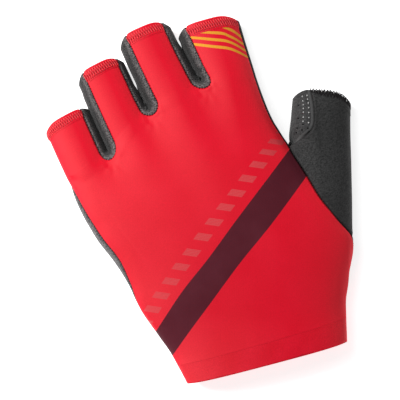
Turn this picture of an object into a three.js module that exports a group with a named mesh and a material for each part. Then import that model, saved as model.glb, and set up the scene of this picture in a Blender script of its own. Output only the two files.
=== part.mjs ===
// A short-fingered cycling glove for the left hand, lying palm down with its cloth held open as if filled.
// Millimetres, +Z up, +Y from the cuff towards the fingertips, +X towards the thumb.
// The whole outer skin is worked out first as one surface. Each cloth panel is a share of that surface,
// thickened inwards, and panels stop half a seam gap short of the line that they are sewn along.
import * as THREE from "three";

const { degToRad, lerp } = THREE.MathUtils;

// Main sizes of the hand part
const PALM_WIDTH = 101;
const CUFF_WIDTH = 79;
const BODY_LENGTH = 137;
const BODY_HEIGHT = 26;
const FINGER_LENGTH = 30;
const FINGER_WIDTH = 26;
const FINGER_HEIGHT = 16.5;
const KNUCKLE_HEIGHT = 19;

// Thumb
const THUMB_LENGTH = 44;
const THUMB_WIDTH = 27.4;
const THUMB_BASE_WIDTH = 31.6;
const THUMB_HEIGHT = 18;
const THUMB_SPREAD_DEG = 25;

// Cloth and sewing
const BACK_WALL = 1.2;
const MESH_WALL = 1.2;
const PALM_WALL = 1.6;
const THUMB_WALL = 1.4;
const HEM_WALL = 2;
const HEM_RISE = 0.35;
const SEAM_GAP = 0.3;
const FINGER_HEM = 4.4;
const THUMB_HEM = 4;
const CUFF_HEM = 11;

// Gaps between neighbouring fingers and the rounded webs at their feet
const FINGER_GAP = 0.8;
const CROTCH_DIP = 1.25;
const CROTCH_RISE = 1.6;
const PALM_MOUTH_SHARE = 0.3;

// Shape of the cross-sections
const WIDEST_AT = 0.42;
const BODY_ROUNDNESS = 2.5;
const FINGER_ROUNDNESS = 2.2;
const THUMB_UNDER_ROUNDNESS = 4;
const BODY_FLAT = 0.8;
const FINGER_FLAT = 0.35;
const PALM_SEAM_DEG = -60;

// Mesh steps
const ROW_STEPS = 2;
const CROTCH_STEPS = 4;
const SIDE_STEPS = 3;

// Feet of the finger gaps from the little finger's side to the index finger's:
// across is a share of the palm's width, along a share of the body's length.
const FINGER_FEET = [
  { across: -0.502, along: 0.881 },
  { across: -0.272, along: 0.914 },
  { across: -0.019, along: 0.998 },
  { across: 0.262, along: 1.001 },
  { across: 0.517, along: 0.925 },
];

// Length is from the foot to the mouth and width is across the mouth, as shares of the finger's sizes. Lean turns
// the finger and tilt turns its mouth. Bulge is how far the back of the mouth stands out past its ends, as a
// share of the width. A seam is the angle above the widest line where the back ends on that side.
const FINGERS = [
  { name: "little", length: 0.777, width: 0.892, lean: 0.9, tilt: 3.7, bulge: 0.12, leftSeam: -25, rightSeam: 46 },
  { name: "ring", length: 0.973, width: 0.935, lean: 0.3, tilt: 1.9, bulge: 0.2, leftSeam: 52, rightSeam: 40 },
  { name: "middle", length: 0.993, width: 1.008, lean: -0.8, tilt: -1.5, bulge: 0.2, leftSeam: 54, rightSeam: 42 },
  { name: "index", length: 0.85, width: 1.173, lean: 3.8, tilt: -9, bulge: 0.16, leftSeam: 51, rightSeam: 21 },
];

// Sections of the hand part, from the fingers' feet to the cuff. Palmness goes from the cuff's width, 0, to
// the palm's, 1. Left and right are shares of that width, each with its share of the body's length. Bow is how
// far the middle of the section hangs down past its ends, as a share of the width. Height is a share of the
// body's. A seam is an angle as above. Knuckles is how much of the fingers' form is left. Beside the thumb,
// open is 1, the section has no right side of its own, and right is where one would end.
const BODY_SECTIONS = [
  {
    at: "feet", palmness: 1, left: -0.502, leftAlong: 0.881, right: 0.517, rightAlong: 0.925,
    bow: 0, height: 0.84, leftSeam: 0, rightSeam: 21, knuckles: 1, open: 0,
  },
  {
    at: "knuckles", palmness: 1, left: -0.51, leftAlong: 0.82, right: 0.502, rightAlong: 0.779,
    bow: 0, height: 0.91, leftSeam: 14, rightSeam: 16, knuckles: 0.5, open: 0,
  },
  {
    at: "thumb_crotch", palmness: 1, left: -0.507, leftAlong: 0.735, right: 0.519, rightAlong: 0.661,
    bow: 0, height: 0.96, leftSeam: 18, rightSeam: 10, knuckles: 0.18, open: 0,
  },
  {
    at: "crotch_floor", palmness: 0.99, left: -0.503, leftAlong: 0.695, right: 0.529, rightAlong: 0.636,
    bow: 0, height: 0.97, leftSeam: 19, rightSeam: 14, knuckles: 0.1, open: 1,
  },
  {
    at: "thumb_upper", palmness: 0.95, left: -0.498, leftAlong: 0.64, right: 0.571, rightAlong: 0.545,
    bow: 0, height: 0.99, leftSeam: 20, rightSeam: 22, knuckles: 0.04, open: 1,
  },
  {
    at: "thumb_middle", palmness: 0.85, left: -0.481, leftAlong: 0.553, right: 0.626, rightAlong: 0.447,
    bow: 0, height: 1, leftSeam: 20, rightSeam: 30, knuckles: 0, open: 1,
  },
  {
    at: "thumb_lower", palmness: 0.7, left: -0.481, leftAlong: 0.458, right: 0.666, rightAlong: 0.355,
    bow: 0, height: 0.99, leftSeam: 12, rightSeam: 26, knuckles: 0, open: 1,
  },
  {
    at: "thumb_foot", palmness: 0.5, left: -0.501, leftAlong: 0.363, right: 0.682, rightAlong: 0.268,
    bow: 0, height: 0.96, leftSeam: 0, rightSeam: 5, knuckles: 0, open: 0,
  },
  {
    at: "wrist", palmness: 0.25, left: -0.503, leftAlong: 0.253, right: 0.609, rightAlong: 0.147,
    bow: 0.008, height: 0.91, leftSeam: -10, rightSeam: -25, knuckles: 0, open: 0,
  },
  {
    at: "neck", palmness: 0.1, left: -0.504, leftAlong: 0.183, right: 0.571, rightAlong: 0.088,
    bow: 0.014, height: 0.89, leftSeam: -15, rightSeam: -28, knuckles: 0, open: 0,
  },
  {
    at: "cuff", palmness: 0, left: -0.504, leftAlong: 0.053, right: 0.481, rightAlong: -0.05,
    bow: 0.022, height: 0.88, leftSeam: -20, rightSeam: -30, knuckles: 0, open: 0,
  },
];

// Sections of the thumb from its foot, 0, to its mouth, 1. Height is a share of the thumb's. Turn is how far
// the seam of the grip panel has come round from the thumb's crotch to its place at the mouth.
const THUMB_SECTIONS = [
  { at: 0.3, height: 1.06, turn: 1.1 },
  { at: 0.65, height: 1.02, turn: 1.13 },
  { at: 1, height: 0.94, turn: 1 },
];
const GRIP_SEAM_DEG = 112;
const THUMB_MOUTH_TILT_DEG = -6;
const THUMB_MOUTH_BULGE = 5;
const THUMB_SIDE_SHIFT = 0.02;
const GRIP_UNDER_SHARE = 0.5;

const RED = { color: 0xe4202f, roughness: 0.55, metalness: 0 };
const HEM_RED = { color: 0xd81a2c, roughness: 0.65, metalness: 0 };
const MESH_GREY = { color: 0x5e6062, roughness: 0.9, metalness: 0 };
const SUEDE = { color: 0x343436, roughness: 0.95, metalness: 0 };
const SUEDE_GRIP = { color: 0x3e3e40, roughness: 0.85, metalness: 0 };

// Cross-section of a cloth tube on one side. The angle is 90 at the crest, 0 at the widest line and -90 where
// the flat underside starts. Across is a share of the half width.
function sectionAtAngle(angle, height, roundness, flat) {
  const widest = WIDEST_AT * height;
  const cosine = Math.max(0, Math.cos(degToRad(angle)));
  const sine = Math.sin(degToRad(angle));
  if (angle >= 0) {
    const power = 2 / roundness;
    return { across: cosine ** power, up: widest + (height - widest) * sine ** power };
  }
  return { across: flat + (1 - flat) * cosine, up: widest * (1 + sine) };
}

// The angle on the body's top curve, or on the curve under its widest line, for a share of the half width
const topAngle = (across) => THREE.MathUtils.radToDeg(Math.acos(Math.abs(across) ** (BODY_ROUNDNESS / 2)));
function underAngle(across) {
  const share = Math.max(0, (Math.abs(across) - BODY_FLAT) / (1 - BODY_FLAT));
  return -THREE.MathUtils.radToDeg(Math.acos(Math.min(1, share)));
}

const planPoint = (across, along, width = PALM_WIDTH) =>
  new THREE.Vector3(across * width, along * BODY_LENGTH, 0);

// Outline of each finger at its foot and at its mouth
const fingers = FINGERS.map((row, i) => {
  const footLeft = planPoint(FINGER_FEET[i].across, FINGER_FEET[i].along);
  const footRight = planPoint(FINGER_FEET[i + 1].across, FINGER_FEET[i + 1].along);
  if (i > 0) footLeft.x += FINGER_GAP / 2;
  if (i < FINGERS.length - 1) footRight.x -= FINGER_GAP / 2;
  const length = row.length * FINGER_LENGTH;
  const width = row.width * FINGER_WIDTH;
  const lean = degToRad(row.lean);
  const tilt = degToRad(row.tilt);
  const mouth = footLeft.clone().lerp(footRight, 0.5);
  mouth.add(new THREE.Vector3(Math.sin(lean), Math.cos(lean), 0).multiplyScalar(length));
  const half = new THREE.Vector3(Math.cos(tilt), Math.sin(tilt), 0).multiplyScalar(width / 2);
  const mouthLeft = mouth.clone().sub(half);
  const mouthRight = mouth.clone().add(half);
  return { ...row, length, width, footLeft, footRight, mouthLeft, mouthRight };
});

// A point of a finger: out is 0 at the foot and 1 at the mouth. A station is a side with an angle,
// or a share of the flat underside.
function fingerPoint(finger, out, station) {
  const height = lerp(KNUCKLE_HEIGHT, FINGER_HEIGHT, out);
  let across;
  let up = 0;
  if (station.flat === undefined) {
    const section = sectionAtAngle(station.angle, height, FINGER_ROUNDNESS, FINGER_FLAT);
    across = station.side * section.across;
    up = section.up;
  } else {
    across = station.flat * FINGER_FLAT;
  }
  const left = finger.footLeft.clone().lerp(finger.mouthLeft, out);
  const right = finger.footRight.clone().lerp(finger.mouthRight, out);
  const point = left.lerp(right, (1 + across) / 2);
  const under = station.flat !== undefined || station.angle < 0;
  const bulge = finger.bulge * finger.width * (under ? PALM_MOUTH_SHARE : 1);
  point.y += bulge * out ** 2 * (1 - across ** 4);
  point.z = up;
  return point;
}

// Level 0 is the back's seam, 0.5 the widest line and 1 the palm's seam
const levelAngle = (seam, level) =>
  level < 0.5 ? lerp(seam, 0, level * 2) : lerp(0, PALM_SEAM_DEG, level * 2 - 1);

// A point of the web between two fingers, on a half ellipse from one finger's side to the next one's
function webPoint(gap, level, step) {
  const before = { side: 1, angle: levelAngle(fingers[gap].rightSeam, level) };
  const after = { side: -1, angle: levelAngle(fingers[gap + 1].leftSeam, level) };
  const from = fingerPoint(fingers[gap], 0, before);
  const to = fingerPoint(fingers[gap + 1], 0, after);
  const turn = (Math.PI * step) / CROTCH_STEPS;
  const dip = (CROTCH_DIP * from.distanceTo(to)) / 2;
  const point = from.lerp(to, (1 - Math.cos(turn)) / 2);
  point.y -= dip * Math.sin(turn);
  point.z += CROTCH_RISE * Math.max(0, 1 - 2 * level) * Math.sin(turn);
  return point;
}

const steps = (from, to, count) => Array.from({ length: count + 1 }, (_, i) => lerp(from, to, i / count));

// Columns of the back from left to right: stations on the fingers and steps of the webs between them
const LEFT_HALF_STEPS = [4, 2, 2, 2];
const RIGHT_HALF_STEPS = [2, 2, 2, 3];
const UNDER_CORNER_STEPS = 1;
const UNDER_FLAT_STEPS = 2;

const backStations = fingers.map((finger, i) => [
  ...steps(finger.leftSeam, 90, LEFT_HALF_STEPS[i]).map((angle) => ({ side: -1, angle })),
  ...steps(90, finger.rightSeam, RIGHT_HALF_STEPS[i]).slice(1).map((angle) => ({ side: 1, angle })),
]);

// Columns of the palm from right to left
const palmStations = fingers.map((finger, i) => {
  const last = i === fingers.length - 1;
  const rise = last
    ? steps(finger.rightSeam, -90, SIDE_STEPS)
    : steps(PALM_SEAM_DEG, -90, UNDER_CORNER_STEPS);
  return [
    ...rise.map((angle) => ({ side: 1, angle, wrap: last })),
    ...steps(1, -1, UNDER_FLAT_STEPS).slice(1, -1).map((flat) => ({ flat })),
    ...steps(-90, PALM_SEAM_DEG, UNDER_CORNER_STEPS).map((angle) => ({ side: -1, angle })),
  ];
});

function columnsOf(stations, level, reversed) {
  const order = stations.map((_, i) => (reversed ? stations.length - 1 - i : i));
  const columns = [];
  for (const [place, i] of order.entries()) {
    for (const station of stations[i]) {
      columns.push({ finger: i, station, foot: fingerPoint(fingers[i], 0, station) });
    }
    if (place === order.length - 1) continue;
    const gap = reversed ? i - 1 : i;
    for (const step of steps(1, CROTCH_STEPS - 1, CROTCH_STEPS - 2)) {
      columns.push({ gap, foot: webPoint(gap, level, reversed ? CROTCH_STEPS - step : step) });
    }
  }
  return columns;
}
const backColumns = columnsOf(backStations, 0, false);
const palmColumns = columnsOf(palmStations, 1, true);

// Body sections with their places worked out. The cuff's hem starts one hem width above the cuff's edge.
const bodySections = BODY_SECTIONS.map((row) => {
  const width = lerp(CUFF_WIDTH, PALM_WIDTH, row.palmness);
  const left = planPoint(row.left, row.leftAlong, width);
  const right = planPoint(row.right, row.rightAlong, width);
  return { ...row, left, right, height: row.height * BODY_HEIGHT, bow: row.bow * width };
});
const neck = bodySections.at(-2);
const cuffEdge = bodySections.at(-1);
const cuffDepth = neck.left.clone().add(neck.right).distanceTo(cuffEdge.left.clone().add(cuffEdge.right)) / 2;
const hemShare = CUFF_HEM / cuffDepth;
const hemTop = { ...cuffEdge, at: "hem_top" };
for (const end of ["left", "right"]) hemTop[end] = cuffEdge[end].clone().lerp(neck[end], hemShare);
for (const size of ["height", "bow", "leftSeam", "rightSeam"]) {
  hemTop[size] = lerp(cuffEdge[size], neck[size], hemShare);
}
bodySections.splice(-1, 0, hemTop);
const feet = bodySections[0];

// Where a foot point lies across the body, from -1 on the left to 1 on the right
function shareAcross(point) {
  const span = feet.right.clone().sub(feet.left);
  const flatPoint = point.clone().setZ(0);
  return (2 * flatPoint.sub(feet.left).dot(span)) / span.lengthSq() - 1;
}

function bodyPoint(section, across, up) {
  const point = section.left.clone().lerp(section.right, (1 + across) / 2).setZ(up);
  point.y -= section.bow * (1 - across ** 4);
  return point;
}
function bodyAtAngle(section, side, angle) {
  const point = sectionAtAngle(angle, section.height, BODY_ROUNDNESS, BODY_FLAT);
  return bodyPoint(section, side * point.across, point.up);
}

const littleCrest = shareAcross(fingerPoint(fingers[0], 0, { side: -1, angle: 90 }));
const indexCrest = shareAcross(fingerPoint(fingers.at(-1), 0, { side: 1, angle: 90 }));
const palmLeftEdge = shareAcross(palmColumns.at(-1).foot);
const palmWrapStart = shareAcross(fingerPoint(fingers.at(-1), 0, { side: 1, angle: -90 }));

// The plain body's point in a section for a column of the back
function backOnBody(section, column) {
  const { station, finger } = column;
  if (station && finger === 0 && station.side < 0) {
    const round = (90 - station.angle) / (90 - fingers[0].leftSeam);
    return bodyAtAngle(section, -1, lerp(topAngle(littleCrest), section.leftSeam, round));
  }
  if (station && finger === fingers.length - 1 && station.side > 0) {
    const round = (90 - station.angle) / (90 - fingers.at(-1).rightSeam);
    return bodyAtAngle(section, 1, lerp(topAngle(indexCrest), section.rightSeam, round));
  }
  const across = shareAcross(column.foot);
  return bodyAtAngle(section, Math.sign(across) || 1, topAngle(across));
}

// The same for a column of the palm. Beside the thumb the palm runs out flat to the thumb's opening.
function palmOnBody(section, column) {
  const across = shareAcross(column.foot);
  if (column.station?.wrap) {
    const round = (column.station.angle + 90) / (fingers.at(-1).rightSeam + 90);
    const angle = lerp(underAngle(palmWrapStart), section.rightSeam, round);
    if (!section.open) return bodyAtAngle(section, 1, angle);
    const seam = sectionAtAngle(section.rightSeam, section.height, BODY_ROUNDNESS, BODY_FLAT).across;
    return bodyPoint(section, lerp(palmWrapStart, (1 + seam) / 2, round), 0);
  }
  if (section.open && across > 0) return bodyPoint(section, across, 0);
  return bodyAtAngle(section, Math.sign(across) || 1, underAngle(across)).lerp(
    bodyPoint(section, across, 0),
    Math.abs(across) < BODY_FLAT ? 1 : 0,
  );
}

// The side strip's point: up is 0 at the palm's seam and 1 at the back's
const stripOnBody = (section, up) =>
  bodyAtAngle(section, -1, lerp(underAngle(palmLeftEdge), section.leftSeam, up));

// Points down one column of the body, from the foot to the cuff's hem, smooth through the sections
function bodyColumn(foot, onBody, lead) {
  const relief = foot.clone().sub(onBody(feet));
  const knots = bodySections.slice(0, -1).map((section) =>
    onBody(section).add(relief.clone().multiplyScalar(section.knuckles)),
  );
  const start = lead ?? knots[0].clone().multiplyScalar(2).sub(knots[1]);
  const end = onBody(bodySections.at(-1));
  const curve = new THREE.CatmullRomCurve3([start, ...knots, end]);
  const spans = knots.length + 1;
  return steps(1, spans - 1, (spans - 2) * ROW_STEPS).map((at) => {
    const point = curve.getPoint(at / spans);
    point.z = Math.max(0, point.z);
    return point;
  });
}

// Rows of a finger from the mouth to the foot, with one at the hem's inner edge
const FINGER_STEPS = 3;
const fingerRows = fingers.map((finger) => [1, ...steps(1 - FINGER_HEM / finger.length, 0, FINGER_STEPS)]);
const LEAD = 0.15;

const fingerRow = (i, out, stations) => stations.map((station) => fingerPoint(fingers[i], out, station));
const fingerGrid = (i, stations) => fingerRows[i].map((out) => fingerRow(i, out, stations));
const transpose = (grid) => grid[0].map((_, i) => grid.map((line) => line[i]));

function bodyGrid(columns, onBody) {
  return transpose(
    columns.map((column) => {
      const lead = column.station && fingerPoint(fingers[column.finger], LEAD, column.station);
      return bodyColumn(column.foot, (section) => onBody(section, column), lead);
    }),
  );
}
const backBody = bodyGrid(backColumns, backOnBody);
const palmBody = bodyGrid(palmColumns, palmOnBody);
const backFingers = fingers.map((_, i) => fingerGrid(i, backStations[i]));
const palmFingers = fingers.map((_, i) => fingerGrid(i, palmStations[i]));

// The mesh strip along the little finger's side, its columns from the palm's seam up to the back's
const stripLevels = steps(0, 1, SIDE_STEPS);
const stripStations = stripLevels.map((up) => {
  return { side: -1, angle: lerp(PALM_SEAM_DEG, fingers[0].leftSeam, up) };
});
const stripFinger = fingerGrid(0, stripStations);
const stripBody = transpose(
  stripLevels.map((up, i) => {
    const foot = fingerPoint(fingers[0], 0, stripStations[i]);
    const lead = fingerPoint(fingers[0], LEAD, stripStations[i]);
    return bodyColumn(foot, (section) => stripOnBody(section, up), lead);
  }),
);

// A gusset runs down one finger's side, round the web and up the next finger's side
const GUSSET_LEVELS = [0, 0.25, 0.5, 0.75, 1];
function gussetGrid(gap) {
  const stationsOn = (side, seam) => GUSSET_LEVELS.map((level) => ({ side, angle: levelAngle(seam, level) }));
  const before = stationsOn(1, fingers[gap].rightSeam);
  const after = stationsOn(-1, fingers[gap + 1].leftSeam);
  const down = fingerRows[gap].map((out) => fingerRow(gap, out, before));
  const round = steps(1, CROTCH_STEPS - 1, CROTCH_STEPS - 2).map((step) =>
    GUSSET_LEVELS.map((level) => webPoint(gap, level, step)),
  );
  const up = fingerRows[gap + 1].toReversed().map((out) => fingerRow(gap + 1, out, after));
  return [...down, ...round, ...up];
}

// The cuff's hem is a ring: across the back, and across the palm to the strip on the left
const hemSection = bodySections.at(-1);
const cuffRing = [
  [...backBody.at(-1), ...palmBody.at(-1).slice(1), ...stripBody.at(-1).slice(1)],
  [
    ...backColumns.map((column) => backOnBody(hemSection, column)),
    ...palmColumns.slice(1).map((column) => palmOnBody(hemSection, column)),
    ...stripLevels.slice(1).map((up) => stripOnBody(hemSection, up)),
  ],
];

// Thumb: its foot is the opening between the back's and the palm's edges
const sectionRow = (name) => bodySections.findIndex((section) => section.at === name) * ROW_STEPS;
const openRows = [sectionRow("thumb_crotch"), sectionRow("thumb_foot") + 1];
for (const [i, row] of palmBody.entries()) {
  if (i < openRows[0] || i >= openRows[1]) row[0] = backBody[i].at(-1);
}
const overEdge = backBody.slice(...openRows).map((row) => row.at(-1));
const underEdge = palmBody.slice(...openRows).map((row) => row[0]).toReversed();
const crotch = overEdge[0];
const thumbFoot = overEdge.at(-1);
const spread = degToRad(THUMB_SPREAD_DEG);
const thumbAxis = new THREE.Vector3(Math.sin(spread), Math.cos(spread), 0);
const thumbSide = new THREE.Vector3(Math.cos(spread), -Math.sin(spread), 0);
const thumbOpening = crotch.clone().lerp(thumbFoot, 0.5).setZ(0);
const thumbMouth = thumbOpening.clone()
  .addScaledVector(thumbAxis, THUMB_LENGTH)
  .addScaledVector(thumbSide, THUMB_SIDE_SHIFT * THUMB_WIDTH);

// Around the thumb's section: 180 is the crotch's side, 90 the top, 0 the outer side and -90 underneath.
// Only the half towards the crotch turns as its seam comes round to the top.
function thumbPoint(foot, turned, row) {
  const limit = turned >= 0 ? GRIP_SEAM_DEG : 360 - GRIP_SEAM_DEG;
  const past = Math.max(0, Math.abs(turned) - 90) / 90;
  const angle = degToRad(turned + Math.sign(turned) * past * (limit - 180) * row.turn);
  const height = row.height * THUMB_HEIGHT;
  const widest = WIDEST_AT * height;
  const over = Math.sin(angle) >= 0;
  const power = 2 / (over ? FINGER_ROUNDNESS : THUMB_UNDER_ROUNDNESS);
  const across = Math.sign(Math.cos(angle)) * Math.abs(Math.cos(angle)) ** power;
  const rise = Math.abs(Math.sin(angle)) ** power;
  const halfWidth = lerp(THUMB_BASE_WIDTH, THUMB_WIDTH, row.at) / 2;
  const skew = Math.tan(degToRad(THUMB_MOUTH_TILT_DEG)) * across * halfWidth;
  const bulge = THUMB_MOUTH_BULGE * (1 - across ** 4) * (over ? 1 : PALM_MOUTH_SHARE);
  const footAlong = foot.clone().sub(thumbMouth).dot(thumbAxis);
  const footAcross = thumbOpening.clone().sub(thumbMouth).dot(thumbSide);
  const along = lerp(footAlong, skew + bulge, row.at);
  return thumbMouth.clone()
    .addScaledVector(thumbAxis, along)
    .addScaledVector(thumbSide, across * halfWidth + footAcross * (1 - row.at))
    .setZ(over ? widest + (height - widest) * rise : widest * (1 - rise));
}

const THUMB_STEPS = 4;
const thumbRows = [1, ...steps(1 - THUMB_HEM / THUMB_LENGTH, 0, THUMB_STEPS)];
function thumbColumn(foot, turned) {
  const knots = [foot, ...THUMB_SECTIONS.map((row) => thumbPoint(foot, turned, row))];
  const curve = new THREE.CatmullRomCurve3(knots);
  return thumbRows.map((out) => {
    const section = THUMB_SECTIONS.findIndex((row) => out <= row.at);
    const from = section === 0 ? 0 : THUMB_SECTIONS[section - 1].at;
    const share = (out - from) / (THUMB_SECTIONS[section].at - from);
    const point = curve.getPoint((section + share) / THUMB_SECTIONS.length);
    point.z = Math.max(0, point.z);
    return point;
  });
}
// Share of an edge's length at each of its points
function sharesAlong(edge) {
  let length = 0;
  const lengths = edge.map((point, i) => (length += i ? point.distanceTo(edge[i - 1]) : 0));
  return lengths.map((value) => value / length);
}
const overShares = sharesAlong(overEdge);
const underShares = sharesAlong(underEdge);
const overThumb = transpose(overEdge.map((foot, i) => thumbColumn(foot, 180 * (1 - overShares[i]))));
const underThumb = transpose(underEdge.map((foot, i) => thumbColumn(foot, -180 * underShares[i])));
const gripStart = underShares.findIndex((share) => share > GRIP_UNDER_SHARE);
const thumbBackGrid = overThumb.map((row, i) => [...row, ...underThumb[i].slice(1, gripStart + 1)]);
const thumbGripGrid = underThumb.map((row) => row.slice(gripStart));

// The grids that each panel is made of. Rows run towards the cuff and columns clockwise as seen from the cuff.
const backGrids = [...backFingers.map((grid) => grid.slice(1)), backBody];
const hems = fingers.map((finger, i) => ({ name: finger.name + "_hem", grids: [backFingers[i].slice(0, 2)] }));
const panels = [
  { name: "back_panel", grids: backGrids, wall: BACK_WALL, look: RED },
  ...hems.map((hem) => ({ ...hem, wall: HEM_WALL, rise: HEM_RISE, look: HEM_RED })),
  { name: "little_ring_gusset", grids: [gussetGrid(0)], wall: MESH_WALL, look: MESH_GREY },
  { name: "ring_middle_gusset", grids: [gussetGrid(1)], wall: MESH_WALL, look: MESH_GREY },
  { name: "middle_index_gusset", grids: [gussetGrid(2)], wall: MESH_WALL, look: MESH_GREY },
  { name: "side_strip", grids: [stripFinger, stripBody], wall: MESH_WALL, look: MESH_GREY },
  { name: "palm_panel", grids: [...palmFingers, palmBody], wall: PALM_WALL, look: SUEDE },
  { name: "thumb_back", grids: [thumbBackGrid.slice(1)], wall: THUMB_WALL, look: SUEDE },
  { name: "thumb_hem", grids: [thumbBackGrid.slice(0, 2)], wall: HEM_WALL, rise: HEM_RISE, look: SUEDE },
  { name: "thumb_grip_panel", grids: [thumbGripGrid], wall: THUMB_WALL, look: SUEDE_GRIP },
  { name: "cuff_hem", grids: [cuffRing], wall: HEM_WALL, look: HEM_RED },
];

// One name for each place on the skin, so that panels that meet share their points
const WELD = 1e-3;
const placeOf = (point) => point.toArray().map((v) => Math.round(v / WELD)).join();

function quadsOf(grid) {
  const quads = [];
  for (let row = 0; row + 1 < grid.length; row++) {
    for (let column = 0; column + 1 < grid[row].length; column++) {
      const a = grid[row][column];
      const b = grid[row + 1][column];
      const c = grid[row + 1][column + 1];
      const d = grid[row][column + 1];
      quads.push([a, b, c, d]);
    }
  }
  return quads;
}

// Each quad becomes two triangles along its shorter diagonal
function trianglesOf(quad) {
  const [a, b, c, d] = quad;
  const pair = a.distanceTo(c) < b.distanceTo(d) ? [[a, b, c], [a, c, d]] : [[a, b, d], [b, c, d]];
  return pair.filter((triangle) => new Set(triangle.map(placeOf)).size === 3);
}
for (const panel of panels) panel.triangles = panel.grids.flatMap(quadsOf).flatMap(trianglesOf);

// Skin normals, averaged over all panels
const normals = new Map();
for (const { triangles } of panels) {
  for (const [a, b, c] of triangles) {
    const face = b.clone().sub(a).cross(c.clone().sub(a)).normalize();
    for (const [point, next, last] of [[a, b, c], [b, c, a], [c, a, b]]) {
      const place = placeOf(point);
      if (!normals.has(place)) normals.set(place, new THREE.Vector3());
      const corner = next.clone().sub(point).angleTo(last.clone().sub(point));
      normals.get(place).addScaledVector(face, corner);
    }
  }
}
for (const normal of normals.values()) normal.normalize();

// A panel as a solid: its outer face drawn in by half a seam gap, its inner face one wall further in.
// No piece reaches below the surface that the glove lies on.
function panelGeometry({ triangles, wall, rise = 0 }) {
  const places = new Map();
  const corners = triangles.map((triangle) =>
    triangle.map((point) => {
      const place = placeOf(point);
      if (!places.has(place)) places.set(place, { index: places.size, point, inward: [] });
      return places.get(place);
    }),
  );
  const seen = new Set();
  for (const [a, b, c] of corners) {
    for (const [from, to] of [[a, b], [b, c], [c, a]]) seen.add(from.index + "," + to.index);
  }
  const rims = [];
  for (const [a, b, c] of corners) {
    for (const [from, to] of [[a, b], [b, c], [c, a]]) {
      if (seen.has(to.index + "," + from.index)) continue;
      rims.push([from.index, to.index, placeOf(from.point) < placeOf(to.point)]);
      const normal = normals.get(placeOf(from.point));
      const inward = normal.clone().cross(to.point.clone().sub(from.point)).normalize();
      from.inward.push(inward);
      to.inward.push(inward);
    }
  }
  const count = places.size;
  const positions = new Float32Array(count * 6);
  for (const { index, point, inward } of places.values()) {
    const normal = normals.get(placeOf(point));
    const placed = point.clone();
    if (inward.length) {
      const draw = inward.reduce((sum, v) => sum.add(v), new THREE.Vector3());
      draw.multiplyScalar(inward.length / Math.max(draw.lengthSq(), 1));
      placed.addScaledVector(draw, SEAM_GAP / 2);
    }
    const outer = placed.clone().addScaledVector(normal, rise);
    outer.z = Math.max(0, outer.z);
    outer.toArray(positions, index * 3);
    placed.clone().addScaledVector(normal, rise - wall).toArray(positions, (count + index) * 3);
  }
  const faces = [];
  for (const [a, b, c] of corners.map((corner) => corner.map((v) => v.index))) {
    faces.push(a, b, c, count + c, count + b, count + a);
  }
  for (const [from, to, straight] of rims) {
    if (straight) faces.push(to, from, count + from, to, count + from, count + to);
    else faces.push(to, from, count + to, from, count + from, count + to);
  }
  return new THREE.BufferGeometry()
    .setAttribute("position", new THREE.BufferAttribute(positions, 3))
    .setIndex(faces);
}

const glove = new THREE.Group();
for (const panel of panels) {
  const mesh = new THREE.Mesh(panelGeometry(panel), new THREE.MeshStandardMaterial(panel.look));
  mesh.name = panel.name;
  glove.add(mesh);
}

// The frame's origin is under the middle of the glove, on the surface that it lies on
const bounds = new THREE.Box3().setFromObject(glove, true);
const middle = bounds.getCenter(new THREE.Vector3());
glove.position.set(-middle.x, -middle.y, -bounds.min.z);

export default glove;
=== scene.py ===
"""Looks of the short-fingered cycling glove: the same sewn shell as the CAD part, in finer steps, with its
seams, stitching, printed pattern and cloth. Sizes are in millimetres until a mesh is written, in metres."""

import math

import bpy
import numpy as np
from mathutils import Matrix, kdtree


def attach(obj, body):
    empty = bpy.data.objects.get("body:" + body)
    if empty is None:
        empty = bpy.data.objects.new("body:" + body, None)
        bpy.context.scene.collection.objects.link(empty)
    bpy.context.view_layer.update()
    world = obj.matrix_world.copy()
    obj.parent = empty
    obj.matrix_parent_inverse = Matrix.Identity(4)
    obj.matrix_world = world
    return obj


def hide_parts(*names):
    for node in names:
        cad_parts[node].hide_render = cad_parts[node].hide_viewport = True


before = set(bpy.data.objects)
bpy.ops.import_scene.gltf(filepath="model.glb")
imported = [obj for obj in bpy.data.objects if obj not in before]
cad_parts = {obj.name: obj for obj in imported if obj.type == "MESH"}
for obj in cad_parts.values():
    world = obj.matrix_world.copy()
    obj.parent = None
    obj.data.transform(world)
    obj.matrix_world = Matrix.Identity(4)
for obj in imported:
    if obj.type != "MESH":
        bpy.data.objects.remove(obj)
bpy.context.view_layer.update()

RAD = math.pi / 180

# Sizes of the sewn shell, as in the CAD part, apart from HEM_LIFT and the bow of the cuff's edge
PALM_WIDTH = 101
CUFF_WIDTH = 79
BODY_LENGTH = 137
BODY_HEIGHT = 26
FINGER_LENGTH = 30
FINGER_WIDTH = 26
FINGER_HEIGHT = 16.5
KNUCKLE_HEIGHT = 19
THUMB_LENGTH = 44
THUMB_WIDTH = 27.4
THUMB_BASE_WIDTH = 31.6
THUMB_HEIGHT = 18
THUMB_SPREAD_DEG = 25

BACK_WALL = 1.2
MESH_WALL = 1.2
PALM_WALL = 1.6
THUMB_WALL = 1.4
HEM_WALL = 2
HEM_LIFT = 0.14
FINGER_HEM = 4.4
THUMB_HEM = 4
CUFF_HEM = 11

FINGER_GAP = 0.8
CROTCH_DIP = 1.25
CROTCH_RISE = 1.6
PALM_MOUTH_SHARE = 0.3
WIDEST_AT = 0.42
BODY_ROUNDNESS = 2.5
FINGER_ROUNDNESS = 2.2
THUMB_UNDER_ROUNDNESS = 4
BODY_FLAT = 0.8
FINGER_FLAT = 0.35
PALM_SEAM_DEG = -60
LEAD = 0.15
GRIP_SEAM_DEG = 112
THUMB_MOUTH_TILT_DEG = -6
THUMB_MOUTH_BULGE = 5
THUMB_SIDE_SHIFT = 0.02
GRIP_UNDER_SHARE = 0.5

# Where the CAD part's own origin lies in the frame
FRAME_SHIFT = np.array([-18.36, -82.583, 0.0])

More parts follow.
